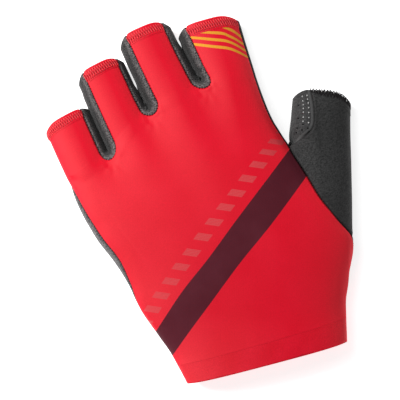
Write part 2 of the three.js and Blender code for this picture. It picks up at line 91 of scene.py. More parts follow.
FINGER_FEET = [(-0.502, 0.881), (-0.272, 0.914), (-0.019, 0.998), (0.262, 1.001), (0.517, 0.925)]
# name, length, width, lean, tilt, bulge, left seam, right seam
FINGERS = [
    ("little", 0.777, 0.892, 0.9, 3.7, 0.12, -25, 46),
    ("ring", 0.973, 0.935, 0.3, 1.9, 0.2, 52, 40),
    ("middle", 0.993, 1.008, -0.8, -1.5, 0.2, 54, 42),
    ("index", 0.85, 1.173, 3.8, -9, 0.16, 51, 21),
]
# name, palmness, left (across, along), right (across, along), bow, height,
# left seam, right seam, knuckles, open
BODY_SECTIONS = [
    ("feet", 1, (-0.502, 0.881), (0.517, 0.925), 0, 0.84, 0, 21, 1, 0),
    ("knuckles", 1, (-0.51, 0.82), (0.502, 0.779), 0, 0.91, 14, 16, 0.5, 0),
    ("thumb_crotch", 1, (-0.507, 0.735), (0.519, 0.661), 0, 0.96, 18, 10, 0.18, 0),
    ("crotch_floor", 0.99, (-0.503, 0.695), (0.529, 0.636), 0, 0.97, 19, 14, 0.1, 1),
    ("thumb_upper", 0.95, (-0.498, 0.64), (0.571, 0.545), 0, 0.99, 20, 22, 0.04, 1),
    ("thumb_middle", 0.85, (-0.481, 0.553), (0.626, 0.447), 0, 1, 20, 30, 0, 1),
    ("thumb_lower", 0.7, (-0.481, 0.458), (0.666, 0.355), 0, 0.99, 12, 26, 0, 1),
    ("thumb_foot", 0.5, (-0.501, 0.363), (0.682, 0.268), 0, 0.96, 0, 5, 0, 0),
    ("wrist", 0.25, (-0.503, 0.253), (0.609, 0.147), 0.008, 0.91, -10, -25, 0, 0),
    ("neck", 0.1, (-0.504, 0.183), (0.571, 0.088), 0.014, 0.89, -15, -28, 0, 0),
    ("cuff", 0, (-0.504, 0.053), (0.481, -0.05), 0.006, 0.88, -20, -30, 0, 0),
]
# share of the way out, height, turn
THUMB_SECTIONS = [(0.3, 1.06, 1.1), (0.65, 1.02, 1.13), (1, 0.94, 1)]

# Steps of the finer mesh
GRAIN = 0.72
SEAM_CLUSTER = 0.55
SEAM_CROWDING = 1.33
TOP_CROWDING = 1.25
WEB_STEPS = 20
GUSSET_STEPS = 26
STRIP_STEPS = 22
UNDER_GRAIN = 1.7
WRAP_GRAIN = 0.9
UNDER_FLATS = 6
HEM_STEPS = 9
CUFF_STEPS = 16


def lerp(a, b, t):
    return a + (b - a) * t


def flat_vector(x, y):
    return np.array([x, y, 0.0])


def direction(degrees):
    """Level direction, turned clockwise from the fingers' way."""
    return flat_vector(math.sin(degrees * RAD), math.cos(degrees * RAD))


def eased(share):
    share = np.clip(share, 0, 1)
    return share * share * (3 - 2 * share)


def unit(vectors):
    return vectors / np.maximum(np.linalg.norm(vectors, axis=-1, keepdims=True), 1e-9)


def run_lengths(line):
    """Lengths from the first point of a line, or of a grid's columns, to each of its points."""
    steps = np.linalg.norm(np.diff(line, axis=0), axis=-1)
    return np.concatenate([np.zeros_like(steps[:1]), np.cumsum(steps, axis=0)])


def clustered(count, amount=SEAM_CLUSTER):
    """Shares from 0 to 1, closer together at both ends."""
    t = np.linspace(0, 1, count + 1)
    return t - amount * np.sin(2 * np.pi * t) / (2 * np.pi)


def section_at_angle(angle, height, roundness, flat):
    widest = WIDEST_AT * height
    cosine = max(0.0, math.cos(angle * RAD))
    sine = math.sin(angle * RAD)
    if angle >= 0:
        power = 2 / roundness
        return cosine**power, widest + (height - widest) * sine**power
    return flat + (1 - flat) * cosine, widest * (1 + sine)


def top_angle(across):
    return math.acos(abs(across) ** (BODY_ROUNDNESS / 2)) / RAD


def under_angle(across):
    share = max(0, (abs(across) - BODY_FLAT) / (1 - BODY_FLAT))
    return -math.acos(min(1, share)) / RAD


def plan_point(across, along, width=PALM_WIDTH):
    return flat_vector(across * width, along * BODY_LENGTH)


def make_finger(i, row):
    name, length, width, lean, tilt, bulge, left_seam, right_seam = row
    foot_left = plan_point(*FINGER_FEET[i])
    foot_right = plan_point(*FINGER_FEET[i + 1])
    if i > 0:
        foot_left[0] += FINGER_GAP / 2
    if i < len(FINGERS) - 1:
        foot_right[0] -= FINGER_GAP / 2
    length, width = length * FINGER_LENGTH, width * FINGER_WIDTH
    mouth = (foot_left + foot_right) / 2 + direction(lean) * length
    half = direction(90 - tilt) * width / 2
    return dict(
        name=name, length=length, width=width, bulge=bulge, left_seam=left_seam, right_seam=right_seam,
        foot_left=foot_left, foot_right=foot_right, mouth_left=mouth - half, mouth_right=mouth + half,
    )


fingers = [make_finger(i, row) for i, row in enumerate(FINGERS)]
LAST = len(fingers) - 1


def finger_column(finger, outs, station):
    """Points of a finger along one station, for shares of the way from its foot to its mouth."""
    outs = np.atleast_1d(np.asarray(outs, float))
    height = lerp(KNUCKLE_HEIGHT, FINGER_HEIGHT, outs)
    if "flat" in station:
        across, up, under = station["flat"] * FINGER_FLAT, outs * 0, True
    else:
        across, up = section_at_angle(station["angle"], height, FINGER_ROUNDNESS, FINGER_FLAT)
        across, under = across * station["side"], station["angle"] < 0
    left = lerp(finger["foot_left"], finger["mouth_left"], outs[:, None])
    right = lerp(finger["foot_right"], finger["mouth_right"], outs[:, None])
    points = lerp(left, right, (1 + across) / 2)
    bulge = finger["bulge"] * finger["width"] * (PALM_MOUTH_SHARE if under else 1)
    points[:, 1] += bulge * outs**2 * (1 - across**4)
    points[:, 2] = up
    return points


def foot_point(i, station):
    return finger_column(fingers[i], 0, station)[0]


def level_angle(seam, level):
    return lerp(seam, 0, level * 2) if level < 0.5 else lerp(0, PALM_SEAM_DEG, level * 2 - 1)


def web_stations(gap, level):
    """Stations on both sides of a gap, from the back's seams at level 0 to the palm's at level 1."""
    return (
        dict(side=1, angle=level_angle(fingers[gap]["right_seam"], level)),
        dict(side=-1, angle=level_angle(fingers[gap + 1]["left_seam"], level)),
    )


def web_point(gap, level, step):
    before, after = web_stations(gap, level)
    start, end = foot_point(gap, before), foot_point(gap + 1, after)
    turn = math.pi * step / WEB_STEPS
    dip = CROTCH_DIP * np.linalg.norm(end - start) / 2
    point = lerp(start, end, (1 - math.cos(turn)) / 2)
    point[1] -= dip * math.sin(turn)
    point[2] += CROTCH_RISE * max(0, 1 - 2 * level) * math.sin(turn)
    return point


def angles_between(i, side, start, end, grain, cluster):
    """Angles around a finger's foot that step evenly along its section, closer together at its ends."""
    tries = np.linspace(start, end, 161)
    points = np.array([foot_point(i, dict(side=side, angle=a)) for a in tries])
    length = run_lengths(points)
    count = max(2, round(length[-1] / grain))
    angles = np.interp(clustered(count, cluster) * length[-1], length, tries)
    angles[0], angles[-1] = start, end
    return angles


def half_cluster(i, side, seam):
    """Angles from a seam to the crest, closer together at the seam only."""
    angles = angles_between(i, side, seam, 90, GRAIN, 0)
    share = np.linspace(0, 1, len(angles))
    return np.interp(share**SEAM_CROWDING, share, angles)


back_stations = [
    [dict(side=-1, angle=a) for a in half_cluster(i, -1, finger["left_seam"])]
    + [dict(side=1, angle=a) for a in half_cluster(i, 1, finger["right_seam"])[::-1][1:]]
    for i, finger in enumerate(fingers)
]


def palm_stations_of(i):
    last = i == LAST
    start = fingers[i]["right_seam"] if last else PALM_SEAM_DEG
    rise = angles_between(i, 1, start, -90, WRAP_GRAIN if last else UNDER_GRAIN, 0)
    flats = np.linspace(1, -1, UNDER_FLATS + 2)[1:-1]
    fall = angles_between(i, -1, -90, PALM_SEAM_DEG, UNDER_GRAIN, 0)
    return (
        [dict(side=1, angle=a, wrap=last) for a in rise]
        + [dict(flat=f) for f in flats]
        + [dict(side=-1, angle=a) for a in fall]
    )


palm_stations = [palm_stations_of(i) for i in range(len(fingers))]


def columns_of(stations, level, reverse):
    order = list(range(len(stations)))
    if reverse:
        order.reverse()
    columns = []
    for place, i in enumerate(order):
        columns += [dict(finger=i, station=s, foot=foot_point(i, s)) for s in stations[i]]
        if place == len(order) - 1:
            continue
        gap = i - 1 if reverse else i
        for step in range(1, WEB_STEPS):
            columns.append(dict(foot=web_point(gap, level, WEB_STEPS - step if reverse else step)))
    return columns


back_columns = columns_of(back_stations, 0, False)
palm_columns = columns_of(palm_stations, 1, True)


def make_section(row):
    name, palmness, left, right, bow, height, left_seam, right_seam, knuckles, is_open = row
    width = lerp(CUFF_WIDTH, PALM_WIDTH, palmness)
    return dict(
        at=name, left=plan_point(*left, width), right=plan_point(*right, width), height=height * BODY_HEIGHT,
        bow=bow * width, left_seam=left_seam, right_seam=right_seam, knuckles=knuckles, open=is_open,
    )


sections = [make_section(row) for row in BODY_SECTIONS]
neck, cuff_edge = sections[-2:]
cuff_depth = np.linalg.norm(neck["left"] + neck["right"] - cuff_edge["left"] - cuff_edge["right"]) / 2
blended = {
    key: lerp(cuff_edge[key], neck[key], CUFF_HEM / cuff_depth)
    for key in ("left", "right", "height", "bow", "left_seam", "right_seam")
}
sections.insert(-1, {**cuff_edge, "at": "hem_top", **blended})
feet = sections[0]


def share_across(point):
    span = feet["right"] - feet["left"]
    return 2 * np.dot((point - feet["left"])[:2], span[:2]) / np.dot(span, span) - 1


def body_point(section, across, up):
    point = lerp(section["left"], section["right"], (1 + across) / 2)
    point[1] -= section["bow"] * (1 - across**4)
    point[2] = up
    return point


def body_at_angle(section, side, angle):
    across, up = section_at_angle(angle, section["height"], BODY_ROUNDNESS, BODY_FLAT)
    return body_point(section, side * across, up)


little_crest = share_across(foot_point(0, dict(side=-1, angle=90)))
index_crest = share_across(foot_point(LAST, dict(side=1, angle=90)))
palm_left_edge = share_across(palm_columns[-1]["foot"])
palm_wrap_start = share_across(foot_point(LAST, dict(side=1, angle=-90)))


def sign(value):
    return -1 if value < 0 else 1


def back_on_body(section, column):
    outer_sides = (0, -1, little_crest, "left_seam"), (LAST, 1, index_crest, "right_seam")
    for finger, side, crest, seam in outer_sides:
        if column.get("finger") == finger and column["station"]["side"] == side:
            turn = (90 - column["station"]["angle"]) / (90 - fingers[finger][seam])
            return body_at_angle(section, side, lerp(top_angle(crest), section[seam], turn))
    across = share_across(column["foot"])
    return body_at_angle(section, sign(across), top_angle(across))


def palm_on_body(section, column):
    across = share_across(column["foot"])
    station = column.get("station", {})
    if station.get("wrap"):
        turn = (station["angle"] + 90) / (fingers[LAST]["right_seam"] + 90)
        angle = lerp(under_angle(palm_wrap_start), section["right_seam"], turn)
        if not section["open"]:
            return body_at_angle(section, 1, angle)
        seam = section_at_angle(section["right_seam"], section["height"], BODY_ROUNDNESS, BODY_FLAT)[0]
        return body_point(section, lerp(palm_wrap_start, (1 + seam) / 2, turn), 0)
    if (section["open"] and across > 0) or abs(across) < BODY_FLAT:
        return body_point(section, across, 0)
    return body_at_angle(section, sign(across), under_angle(across))


def strip_on_body(section, up):
    return body_at_angle(section, -1, lerp(under_angle(palm_left_edge), section["left_seam"], up))


def smooth_curve(knots, places):
    """Centripetal Catmull-Rom curve through knots. A place is a knot's number and a share of the way on."""
    knots = np.asarray(knots, float)
    padded = np.vstack([2 * knots[0] - knots[1], knots, 2 * knots[-1] - knots[-2]])
    start = np.minimum(places.astype(int), len(knots) - 2)
    t = (places - start)[:, None]
    p0, p1, p2, p3 = (padded[start + i] for i in range(4))
    gap0, gap1, gap2 = (
        np.maximum(np.linalg.norm(b - a, axis=1), 1e-8)[:, None] ** 0.5
        for a, b in ((p0, p1), (p1, p2), (p2, p3))
    )
    out = ((p1 - p0) / gap0 - (p2 - p0) / (gap0 + gap1) + (p2 - p1) / gap1) * gap1
    into = ((p2 - p1) / gap1 - (p3 - p1) / (gap1 + gap2) + (p3 - p2) / gap2) * gap1
    bend = -3 * p1 + 3 * p2 - 2 * out - into
    twist = 2 * p1 - 2 * p2 + out + into
    return p1 + out * t + bend * t**2 + twist * t**3


def spans_of_body():
    """Places of the rows down the body, more of them in longer spans, and each section's row."""
    middles = np.array([(s["left"] + s["right"]) / 2 for s in sections[:-1]])
    lengths = np.linalg.norm(np.diff(middles, axis=0), axis=1)
    places, rows = [], [0]
    for k, length in enumerate(lengths):
        count = max(3, round(length / GRAIN))
        shares = np.linspace(0, 1, count + 1)[:-1]
        if k == 0:
            shares = shares**TOP_CROWDING
        places += list(k + 1 + shares)
        rows.append(len(places))
    places.append(len(lengths) + 1)
    return np.array(places, float), {s["at"]: row for s, row in zip(sections, rows)}


body_places, section_rows = spans_of_body()


def body_column(foot, on_body, lead=None, reliefs=None):
    """One column down the body. Reliefs are how far it stands off the plain body at each section."""
    if reliefs is None:
        reliefs = [foot - on_body(feet)] * len(sections)
    knots = [on_body(s) + relief * s["knuckles"] for s, relief in zip(sections[:-1], reliefs)]
    start = 2 * knots[0] - knots[1] if lead is None else lead
    points = smooth_curve([start, *knots, on_body(sections[-1])], body_places)
    points[:, 2] = np.maximum(points[:, 2], 0)
    return points


# How far the fingers' form spreads sideways in the back's cloth at each section, and how near to a side seam
RELIEF_SPREAD = [0, 4.5, 8, 9, 10, 10, 10, 10, 10, 10, 10]
RELIEF_MARGIN = 9


def spread_reliefs(columns, on_body):
    """Each column's reliefs, one for each section, blurred across the back away from its side seams."""
    plain = np.array([on_body(feet, c) for c in columns])
    relief = np.array([c["foot"] for c in columns]) - plain
    place = run_lengths(plain)
    inside = eased(np.minimum(place, place[-1] - place) / RELIEF_MARGIN)[:, None]
    blurred = []
    for spread in RELIEF_SPREAD:
        if not spread:
            blurred.append(relief)
            continue
        weight = np.exp(-(((place[:, None] - place) / spread) ** 2)) * np.gradient(place)
        mean = weight @ relief / weight.sum(axis=1, keepdims=True)
        blurred.append(lerp(relief, mean, inside))
    return np.stack(blurred, axis=1)


def body_grid(columns, on_body, reliefs=None):
    made = []
    for k, column in enumerate(columns):
        lead = None
        if "station" in column:
            lead = finger_column(fingers[column["finger"]], LEAD, column["station"])[0]
        own = None if reliefs is None else reliefs[k]
        made.append(body_column(column["foot"], lambda s, c=column: on_body(s, c), lead, own))
    return np.stack(made, axis=1)


finger_rows = []
for finger in fingers:
    inner = 1 - FINGER_HEM / finger["length"]
    rows_down = round(inner * finger["length"] / GRAIN)
    hem_rows = np.linspace(1, inner, HEM_STEPS + 1)
    finger_rows.append(np.concatenate([hem_rows, np.linspace(inner, 0, rows_down + 1)[1:]]))


def finger_grid(i, stations):
    return np.stack([finger_column(fingers[i], finger_rows[i], s) for s in stations], axis=1)


# Below the webs the back's cloth evens out within a few millimetres
RASTER = 0.5
RASTER_MARGIN = 16
SOFTENING = [0.8, 1.6, 3.2]
SOFTEN_RATE = 0.5
EVEN_ROUNDS = 160
STEEP_SIDE = 6


def inside_share(grid):
    """0 on the steep sides of each row, 1 once a margin further in."""
    place = run_lengths(grid.swapaxes(0, 1)).T
    return eased((np.minimum(place, place[:, -1:] - place) - STEEP_SIDE) / RELIEF_MARGIN)


def even_plan(grid, inside):
    """Evens out the plan places of a grid's inner points, whose rows crowd beside the webs."""
    hold = inside[1:-1, 1:-1, None]
    for _ in range(EVEN_ROUNDS):
        plan = grid[..., :2]
        mean = (plan[:-2, 1:-1] + plan[2:, 1:-1] + plan[1:-1, :-2] + plan[1:-1, 2:]) / 4
        grid[1:-1, 1:-1, :2] = lerp(plan[1:-1, 1:-1], mean, hold)


def bilinear_cells(plan, low, shape):
    at = (plan - low) / RASTER
    cell = np.clip(at.astype(int), 0, np.array(shape) - 2)
    share = at - cell
    for dx in (0, 1):
        for dy in (0, 1):
            weight = abs(1 - dx - share[:, 0]) * abs(1 - dy - share[:, 1])
            yield (cell[:, 0] + dx, cell[:, 1] + dy), weight


def softened_heights(grid, source):
    """Heights for a grid's plan places from a source grid's heights, softer with the way from the feet."""
    flat = source.reshape(-1, 3)
    low = flat[:, :2].min(0) - RASTER_MARGIN
    shape = tuple(((flat[:, :2].max(0) - low + RASTER_MARGIN) / RASTER).astype(int))
    down, aside = np.gradient(source[..., :2], axis=0), np.gradient(source[..., :2], axis=1)
    area = abs(down[..., 0] * aside[..., 1] - down[..., 1] * aside[..., 0]).ravel()
    weight, height = np.zeros(shape), np.zeros(shape)
    for cell, share in bilinear_cells(flat[:, :2], low, shape):
        np.add.at(weight, cell, share * area)
        np.add.at(height, cell, share * area * flat[:, 2])
    waves_x = np.fft.fftfreq(shape[0], RASTER)[:, None]
    waves_y = np.fft.rfftfreq(shape[1], RASTER)[None, :]
    square = waves_x**2 + waves_y**2
    plan = grid[..., :2].reshape(-1, 2)
    levels = []
    for spread in SOFTENING:
        blur = np.exp(-2 * (math.pi * spread) ** 2 * square)
        soft_weight = np.fft.irfft2(np.fft.rfft2(weight) * blur, shape)
        soft_height = np.fft.irfft2(np.fft.rfft2(height) * blur, shape)
        field = soft_height / np.maximum(soft_weight, 1e-7)
        levels.append(sum(field[cell] * share for cell, share in bilinear_cells(plan, low, shape)))
    level = np.interp(run_lengths(grid).ravel() * SOFTEN_RATE, SOFTENING, range(len(SOFTENING)))
    below = np.minimum(level.astype(int), len(SOFTENING) - 2)
    levels = np.array(levels)
    pick = np.arange(len(plan))
    return lerp(levels[below, pick], levels[below + 1, pick], level - below).reshape(grid.shape[:2])


def smooth_back(grid):
    """Evens out the back's rows and softens its heights, apart from its steep sides."""
    source = grid.copy()
    inside = inside_share(grid)
    even_plan(grid, inside)
    soft = softened_heights(grid, source)
    grid[1:, :, 2] = lerp(grid[1:, :, 2], soft[1:], inside[1:])
    return grid


back_body = smooth_back(body_grid(back_columns, back_on_body, spread_reliefs(back_columns, back_on_body)))
palm_body = body_grid(palm_columns, palm_on_body)
back_fingers = [finger_grid(i, back_stations[i]) for i in range(len(fingers))]
palm_fingers = [finger_grid(i, palm_stations[i]) for i in range(len(fingers))]

strip_levels = clustered(STRIP_STEPS)
strip_stations = [
    dict(side=-1, angle=lerp(PALM_SEAM_DEG, fingers[0]["left_seam"], up)) for up in strip_levels
]
strip_finger = finger_grid(0, strip_stations)
strip_body = np.stack(
    [
        body_column(
            foot_point(0, station),
            lambda s, up=up: strip_on_body(s, up),
            finger_column(fingers[0], LEAD, station)[0],
        )
        for up, station in zip(strip_levels, strip_stations)
    ],
    axis=1,
)

gusset_levels = clustered(GUSSET_STEPS)
# How far out the fingers touch, as shares of the first finger's length
TOUCH_TO = [1.3, 0.42, 0.7]
TOUCH_FADE = 0.14
TOUCH_PRESS = 0.1


def side_line(y, foot, mouth):
    return foot[0] + (y - foot[1]) / (mouth[1] - foot[1]) * (mouth[0] - foot[0])


def press_together(gap, points, towards):
    """Swells a gusset's sides until they meet where two fingers lie close. Towards is 1 on the first finger's
    side and -1 on the next one's."""
    y = points[..., 1]
    before, after = fingers[gap], fingers[gap + 1]
    room = side_line(y, after["foot_left"], after["mouth_left"])
    room = np.maximum(room - side_line(y, before["foot_right"], before["mouth_right"]), 0)
    out = (y - before["foot_right"][1]) / before["length"]
    middle = 1 - (2 * gusset_levels - 1) ** 4
    points[..., 0] += towards * (room / 2 + TOUCH_PRESS) * eased((TOUCH_TO[gap] - out) / TOUCH_FADE) * middle
    return points


def gusset_grid(gap):
    before, after = zip(*(web_stations(gap, v) for v in gusset_levels))
    down = press_together(gap, finger_grid(gap, before), 1)
    web = np.array([[web_point(gap, v, step) for v in gusset_levels] for step in range(1, WEB_STEPS)])
    towards = np.cos(np.pi * np.arange(1, WEB_STEPS) / WEB_STEPS)[:, None]
    web = press_together(gap, web, towards)
    up = press_together(gap, finger_grid(gap + 1, after)[::-1], -1)
    return np.concatenate([down, web, up])


gussets = [gusset_grid(gap) for gap in range(LAST)]
GAP_NAMES = [f"{before['name']}_{after['name']}" for before, after in zip(fingers, fingers[1:])]
GUSSETS = [name + "_gusset" for name in GAP_NAMES]

# The webs' upper edges are drawn up a little further between the fingers than their lower ones
WEB_RAISE = [0.45, 1.3, 1.95]
WEB_RAISE_REACH = 7
RAISED_FROM = 5
RAISED_ABOVE = 12
PHOTO_TURN_DEG = 25
RAISE_WAY = direction(PHOTO_TURN_DEG)[:2]
web_feet = [grid[np.argmin(grid[:, 0, 1]), 0].copy() for grid in gussets]
for grid in [*gussets, *back_fingers, back_body, *palm_fingers, palm_body]:
    upper = eased((grid[..., 2] - RAISED_FROM) / (RAISED_ABOVE - RAISED_FROM))
    moved = np.zeros_like(upper)
    for foot, raised in zip(web_feet, WEB_RAISE):
        away = np.linalg.norm(grid[..., :2] - foot[:2], axis=-1) / WEB_RAISE_REACH
        moved += raised * np.exp(-(away**2)) * upper
    grid[..., :2] += moved[..., None] * RAISE_WAY

hem_section = sections[-1]
ring_top = np.concatenate([back_body[-1], palm_body[-1][1:], strip_body[-1][1:]])
ring_edge = np.array(
    [back_on_body(hem_section, c) for c in back_columns]
    + [palm_on_body(hem_section, c) for c in palm_columns[1:]]
    + [strip_on_body(hem_section, up) for up in strip_levels[1:]]
)
cuff_ring = np.array([lerp(ring_top, ring_edge, t) for t in clustered(CUFF_STEPS, 0.4)])

# Thumb
open_rows = slice(section_rows["thumb_crotch"], section_rows["thumb_foot"] + 1)
lower_rows = slice(open_rows.stop, None)
SEAM_COLUMNS = 9
SEAM_STEP_DOWN = 0.12
outside = np.ones(len(back_body), bool)
outside[open_rows] = False
palm_body[outside, 0] = back_body[outside, -1]
# The palm's first columns stay below the seam that they are sewn to
below_seam = back_body[:, -1:, 2] - SEAM_STEP_DOWN * np.arange(SEAM_COLUMNS)
held = np.minimum(palm_body[:, :SEAM_COLUMNS, 2], below_seam)
palm_body[outside, :SEAM_COLUMNS, 2] = np.maximum(held[outside], 0)
palm_body[lower_rows, :, 0] = np.minimum(palm_body[lower_rows, :, 0], back_body[lower_rows, -1:, 0])
over_edge = back_body[open_rows, -1]
under_edge = palm_body[open_rows, 0][::-1]
axis = direction(THUMB_SPREAD_DEG)
sideways = direction(THUMB_SPREAD_DEG + 90)
opening = (over_edge[0] + over_edge[-1]) / 2 * [1, 1, 0]
thumb_mouth = opening + axis * THUMB_LENGTH + sideways * THUMB_SIDE_SHIFT * THUMB_WIDTH


def thumb_point(foot, turned, row):
    at, height_share, turn = row
    limit = GRIP_SEAM_DEG if turned >= 0 else 360 - GRIP_SEAM_DEG
    past = max(0, abs(turned) - 90) / 90
    angle = (turned + sign(turned) * past * (limit - 180) * turn) * RAD
    height = height_share * THUMB_HEIGHT
    widest = WIDEST_AT * height
    over = math.sin(angle) >= 0
    power = 2 / (FINGER_ROUNDNESS if over else THUMB_UNDER_ROUNDNESS)
    across = sign(math.cos(angle)) * abs(math.cos(angle)) ** power
    rise = abs(math.sin(angle)) ** power
    half_width = lerp(THUMB_BASE_WIDTH, THUMB_WIDTH, at) / 2
    skew = math.tan(THUMB_MOUTH_TILT_DEG * RAD) * across * half_width
    bulge = THUMB_MOUTH_BULGE * (1 - across**4) * (1 if over else PALM_MOUTH_SHARE)
    along = lerp(np.dot(foot - thumb_mouth, axis), skew + bulge, at)
    foot_across = np.dot(opening - thumb_mouth, sideways)
    point = thumb_mouth + axis * along + sideways * (across * half_width + foot_across * (1 - at))
    point[2] = widest + (height - widest) * rise if over else widest * (1 - rise)
    return point


hem_from = 1 - THUMB_HEM / THUMB_LENGTH
thumb_rows_down = round(hem_from * THUMB_LENGTH / GRAIN)
thumb_outs = np.concatenate(
    [np.linspace(1, hem_from, HEM_STEPS), np.linspace(hem_from, 0, thumb_rows_down)[1:]]
)


def thumb_column(foot, turned):
    knots = [foot] + [thumb_point(foot, turned, row) for row in THUMB_SECTIONS]
    stops = [0] + [row[0] for row in THUMB_SECTIONS]
    points = smooth_curve(knots, np.interp(thumb_outs, stops, range(len(stops))))
    points[:, 2] = np.maximum(points[:, 2], 0)
    return points


over_shares, under_shares = (run_lengths(edge) / run_lengths(edge)[-1] for edge in (over_edge, under_edge))
over_thumb = np.stack([thumb_column(p, 180 * (1 - s)) for p, s in zip(over_edge, over_shares)], axis=1)
under_thumb = np.stack([thumb_column(p, -180 * s) for p, s in zip(under_edge, under_shares)], axis=1)
grip_start = int(np.argmax(under_shares > GRIP_UNDER_SHARE))
thumb_back = np.concatenate([over_thumb, under_thumb[:, 1 : grip_start + 1]], axis=1)
thumb_grip = under_thumb[:, grip_start:]

# The whole skin, welded, with its normals
PANELS = {}


def add_panel(name, look, wall, *grids, rise=0.0):
    PANELS[name] = dict(look=look, wall=wall, grids=grids, rise=rise)


add_panel("back_panel", "red_cloth", BACK_WALL, *[g[HEM_STEPS:] for g in back_fingers], back_body)
for finger, grid in zip(fingers, back_fingers):
    add_panel(finger["name"] + "_hem", "red_hem", HEM_WALL, grid[: HEM_STEPS + 1], rise=HEM_LIFT)
for name, grid in zip(GUSSETS, gussets):
    add_panel(name, "grey_mesh", MESH_WALL, grid)
add_panel("side_strip", "grey_mesh", MESH_WALL, strip_finger, strip_body)
add_panel("palm_panel", "suede", PALM_WALL, *palm_fingers, palm_body)
add_panel("thumb_back", "suede", THUMB_WALL, thumb_back[HEM_STEPS - 1 :])
add_panel("thumb_hem", "suede", HEM_WALL, thumb_back[:HEM_STEPS], rise=HEM_LIFT)
add_panel("thumb_grip_panel", "suede_grip", THUMB_WALL, thumb_grip)
add_panel("cuff_hem", "red_hem", HEM_WALL, cuff_ring)
WELD = 1e-3


def quads_of(grid, first):
    index = first + np.arange(grid.shape[0] * grid.shape[1]).reshape(grid.shape[:2])
    corners = index[:-1, :-1], index[1:, :-1], index[1:, 1:], index[:-1, 1:]
    return np.stack([c.ravel() for c in corners], axis=1)


stacked, counted = [], 0
for panel in PANELS.values():
    panel["raw"] = []
    for grid in panel["grids"]:
        panel["raw"].append(quads_of(grid, counted))
        stacked.append(grid.reshape(-1, 3))
        counted += len(stacked[-1])
every_point = np.concatenate(stacked)
_, first_seen, place_of = np.unique(
    np.round(every_point / WELD).astype(np.int64), axis=0, return_index=True, return_inverse=True
)
place_of = place_of.ravel()
skin = every_point[first_seen]
for panel in PANELS.values():
    panel["quads"] = place_of[np.concatenate(panel["raw"])]
all_quads = np.concatenate([p["quads"] for p in PANELS.values()])


def skin_normals(points):
    """Normals at the skin's points, from the corners of all quads that meet there."""
    total = np.zeros_like(points)
    for k in range(4):
        here = all_quads[:, k]
        ahead = points[all_quads[:, (k + 1) % 4]] - points[here]
        behind = points[all_quads[:, k - 1]] - points[here]
        across = np.cross(ahead, behind)
        size = np.linalg.norm(across, axis=1)
        angle = np.arctan2(size, np.einsum("ij,ij->i", ahead, behind))
        np.add.at(total, here, across * (angle / np.sqrt(np.maximum(size, 1e-9)))[:, None])
    return unit(total)


# Soft waves of the worn cloth
# Plan place, half width across the notch and along it
PINCHES = [(28.4, 141.6, 1.9, 0.85), (27.6, 137.4, 1.9, 0.9), (-0.4, 137.0, 0.9, 2.0)]
PINCH_DEPTH = 0.8
SWELL_HEIGHT = 0.96
SWELL_NARROWING = 0.8
CREASE_SIDE = 0.2
PINCH_FOLDS = 5
FOLD_TURN = 0.7
PUCKER_REACH = 3.6
PUCKER_DEPTH = 0.16
PUCKER_FOLDS = 7
PUCKER_BELOW = 1.5


def around(points, centre, wide, long):
    """Squared distance from a plan point, in half widths across and along the fingers, and turn about it."""
    offset = points[:, :2] - centre
    across = offset @ [RAISE_WAY[1], -RAISE_WAY[0]] / wide
    along = offset @ RAISE_WAY / long
    return across**2 + along**2, np.arctan2(along, across)


def star(out, turn, folds):
    """A cloth pinch: a small hollow with folds running out of it."""
    return 0.6 * np.cos(folds * turn + FOLD_TURN) * out * np.exp(-out / 1.5) - np.exp(-out)


def places_of(names):
    return np.unique(np.concatenate([PANELS[name]["quads"].ravel() for name in names]))


def pinches(points):
    lift = np.zeros(len(points))
    mesh = places_of(GUSSETS)
    for x, y, wide, long in PINCHES:
        out, turn = around(points[mesh], (x, y), wide, long)
        hollow = PINCH_DEPTH * star(out, turn, PINCH_FOLDS)
        swell = SWELL_HEIGHT * np.exp(-SWELL_NARROWING * out)
        # The side that faces the pinch from across the crease swells into it
        lift[mesh] += np.where(normals[mesh, 0] < CREASE_SIDE, hollow, swell)
    red = places_of(["back_panel"])
    for grid in gussets:
        lowest = grid[np.argmin(grid[:, 0, 1]), 0]
        out, turn = around(points[red], lowest[:2] - [0, PUCKER_BELOW], PUCKER_REACH, PUCKER_REACH)
        lift[red] += PUCKER_DEPTH * star(out, turn, PUCKER_FOLDS)
    return lift


def waves(points):
    x, y = points[:, 0], points[:, 1]
    lift = 0.16 * np.sin(x / 11.0 + 1.3 * np.sin(y / 17.0)) * np.sin(y / 13.0 + 0.8)
    lift += 0.08 * np.sin(x / 5.3 + y / 9.1 + 0.4) * np.sin(y / 6.7 - x / 14.0)
    return lift * np.clip(points[:, 2] / 6, 0, 1)


normals = skin_normals(skin)
skin = skin + normals * (waves(skin) + pinches(skin))[:, None]
skin[:, 2] = np.maximum(skin[:, 2], 0)
normals = skin_normals(skin)

# Materials
METRE = 1000.0


def srgb(*levels):
    shares = [level / 255 for level in levels]
    return [c / 12.92 if c <= 0.04045 else ((c + 0.055) / 1.055) ** 2.4 for c in shares] + [1]


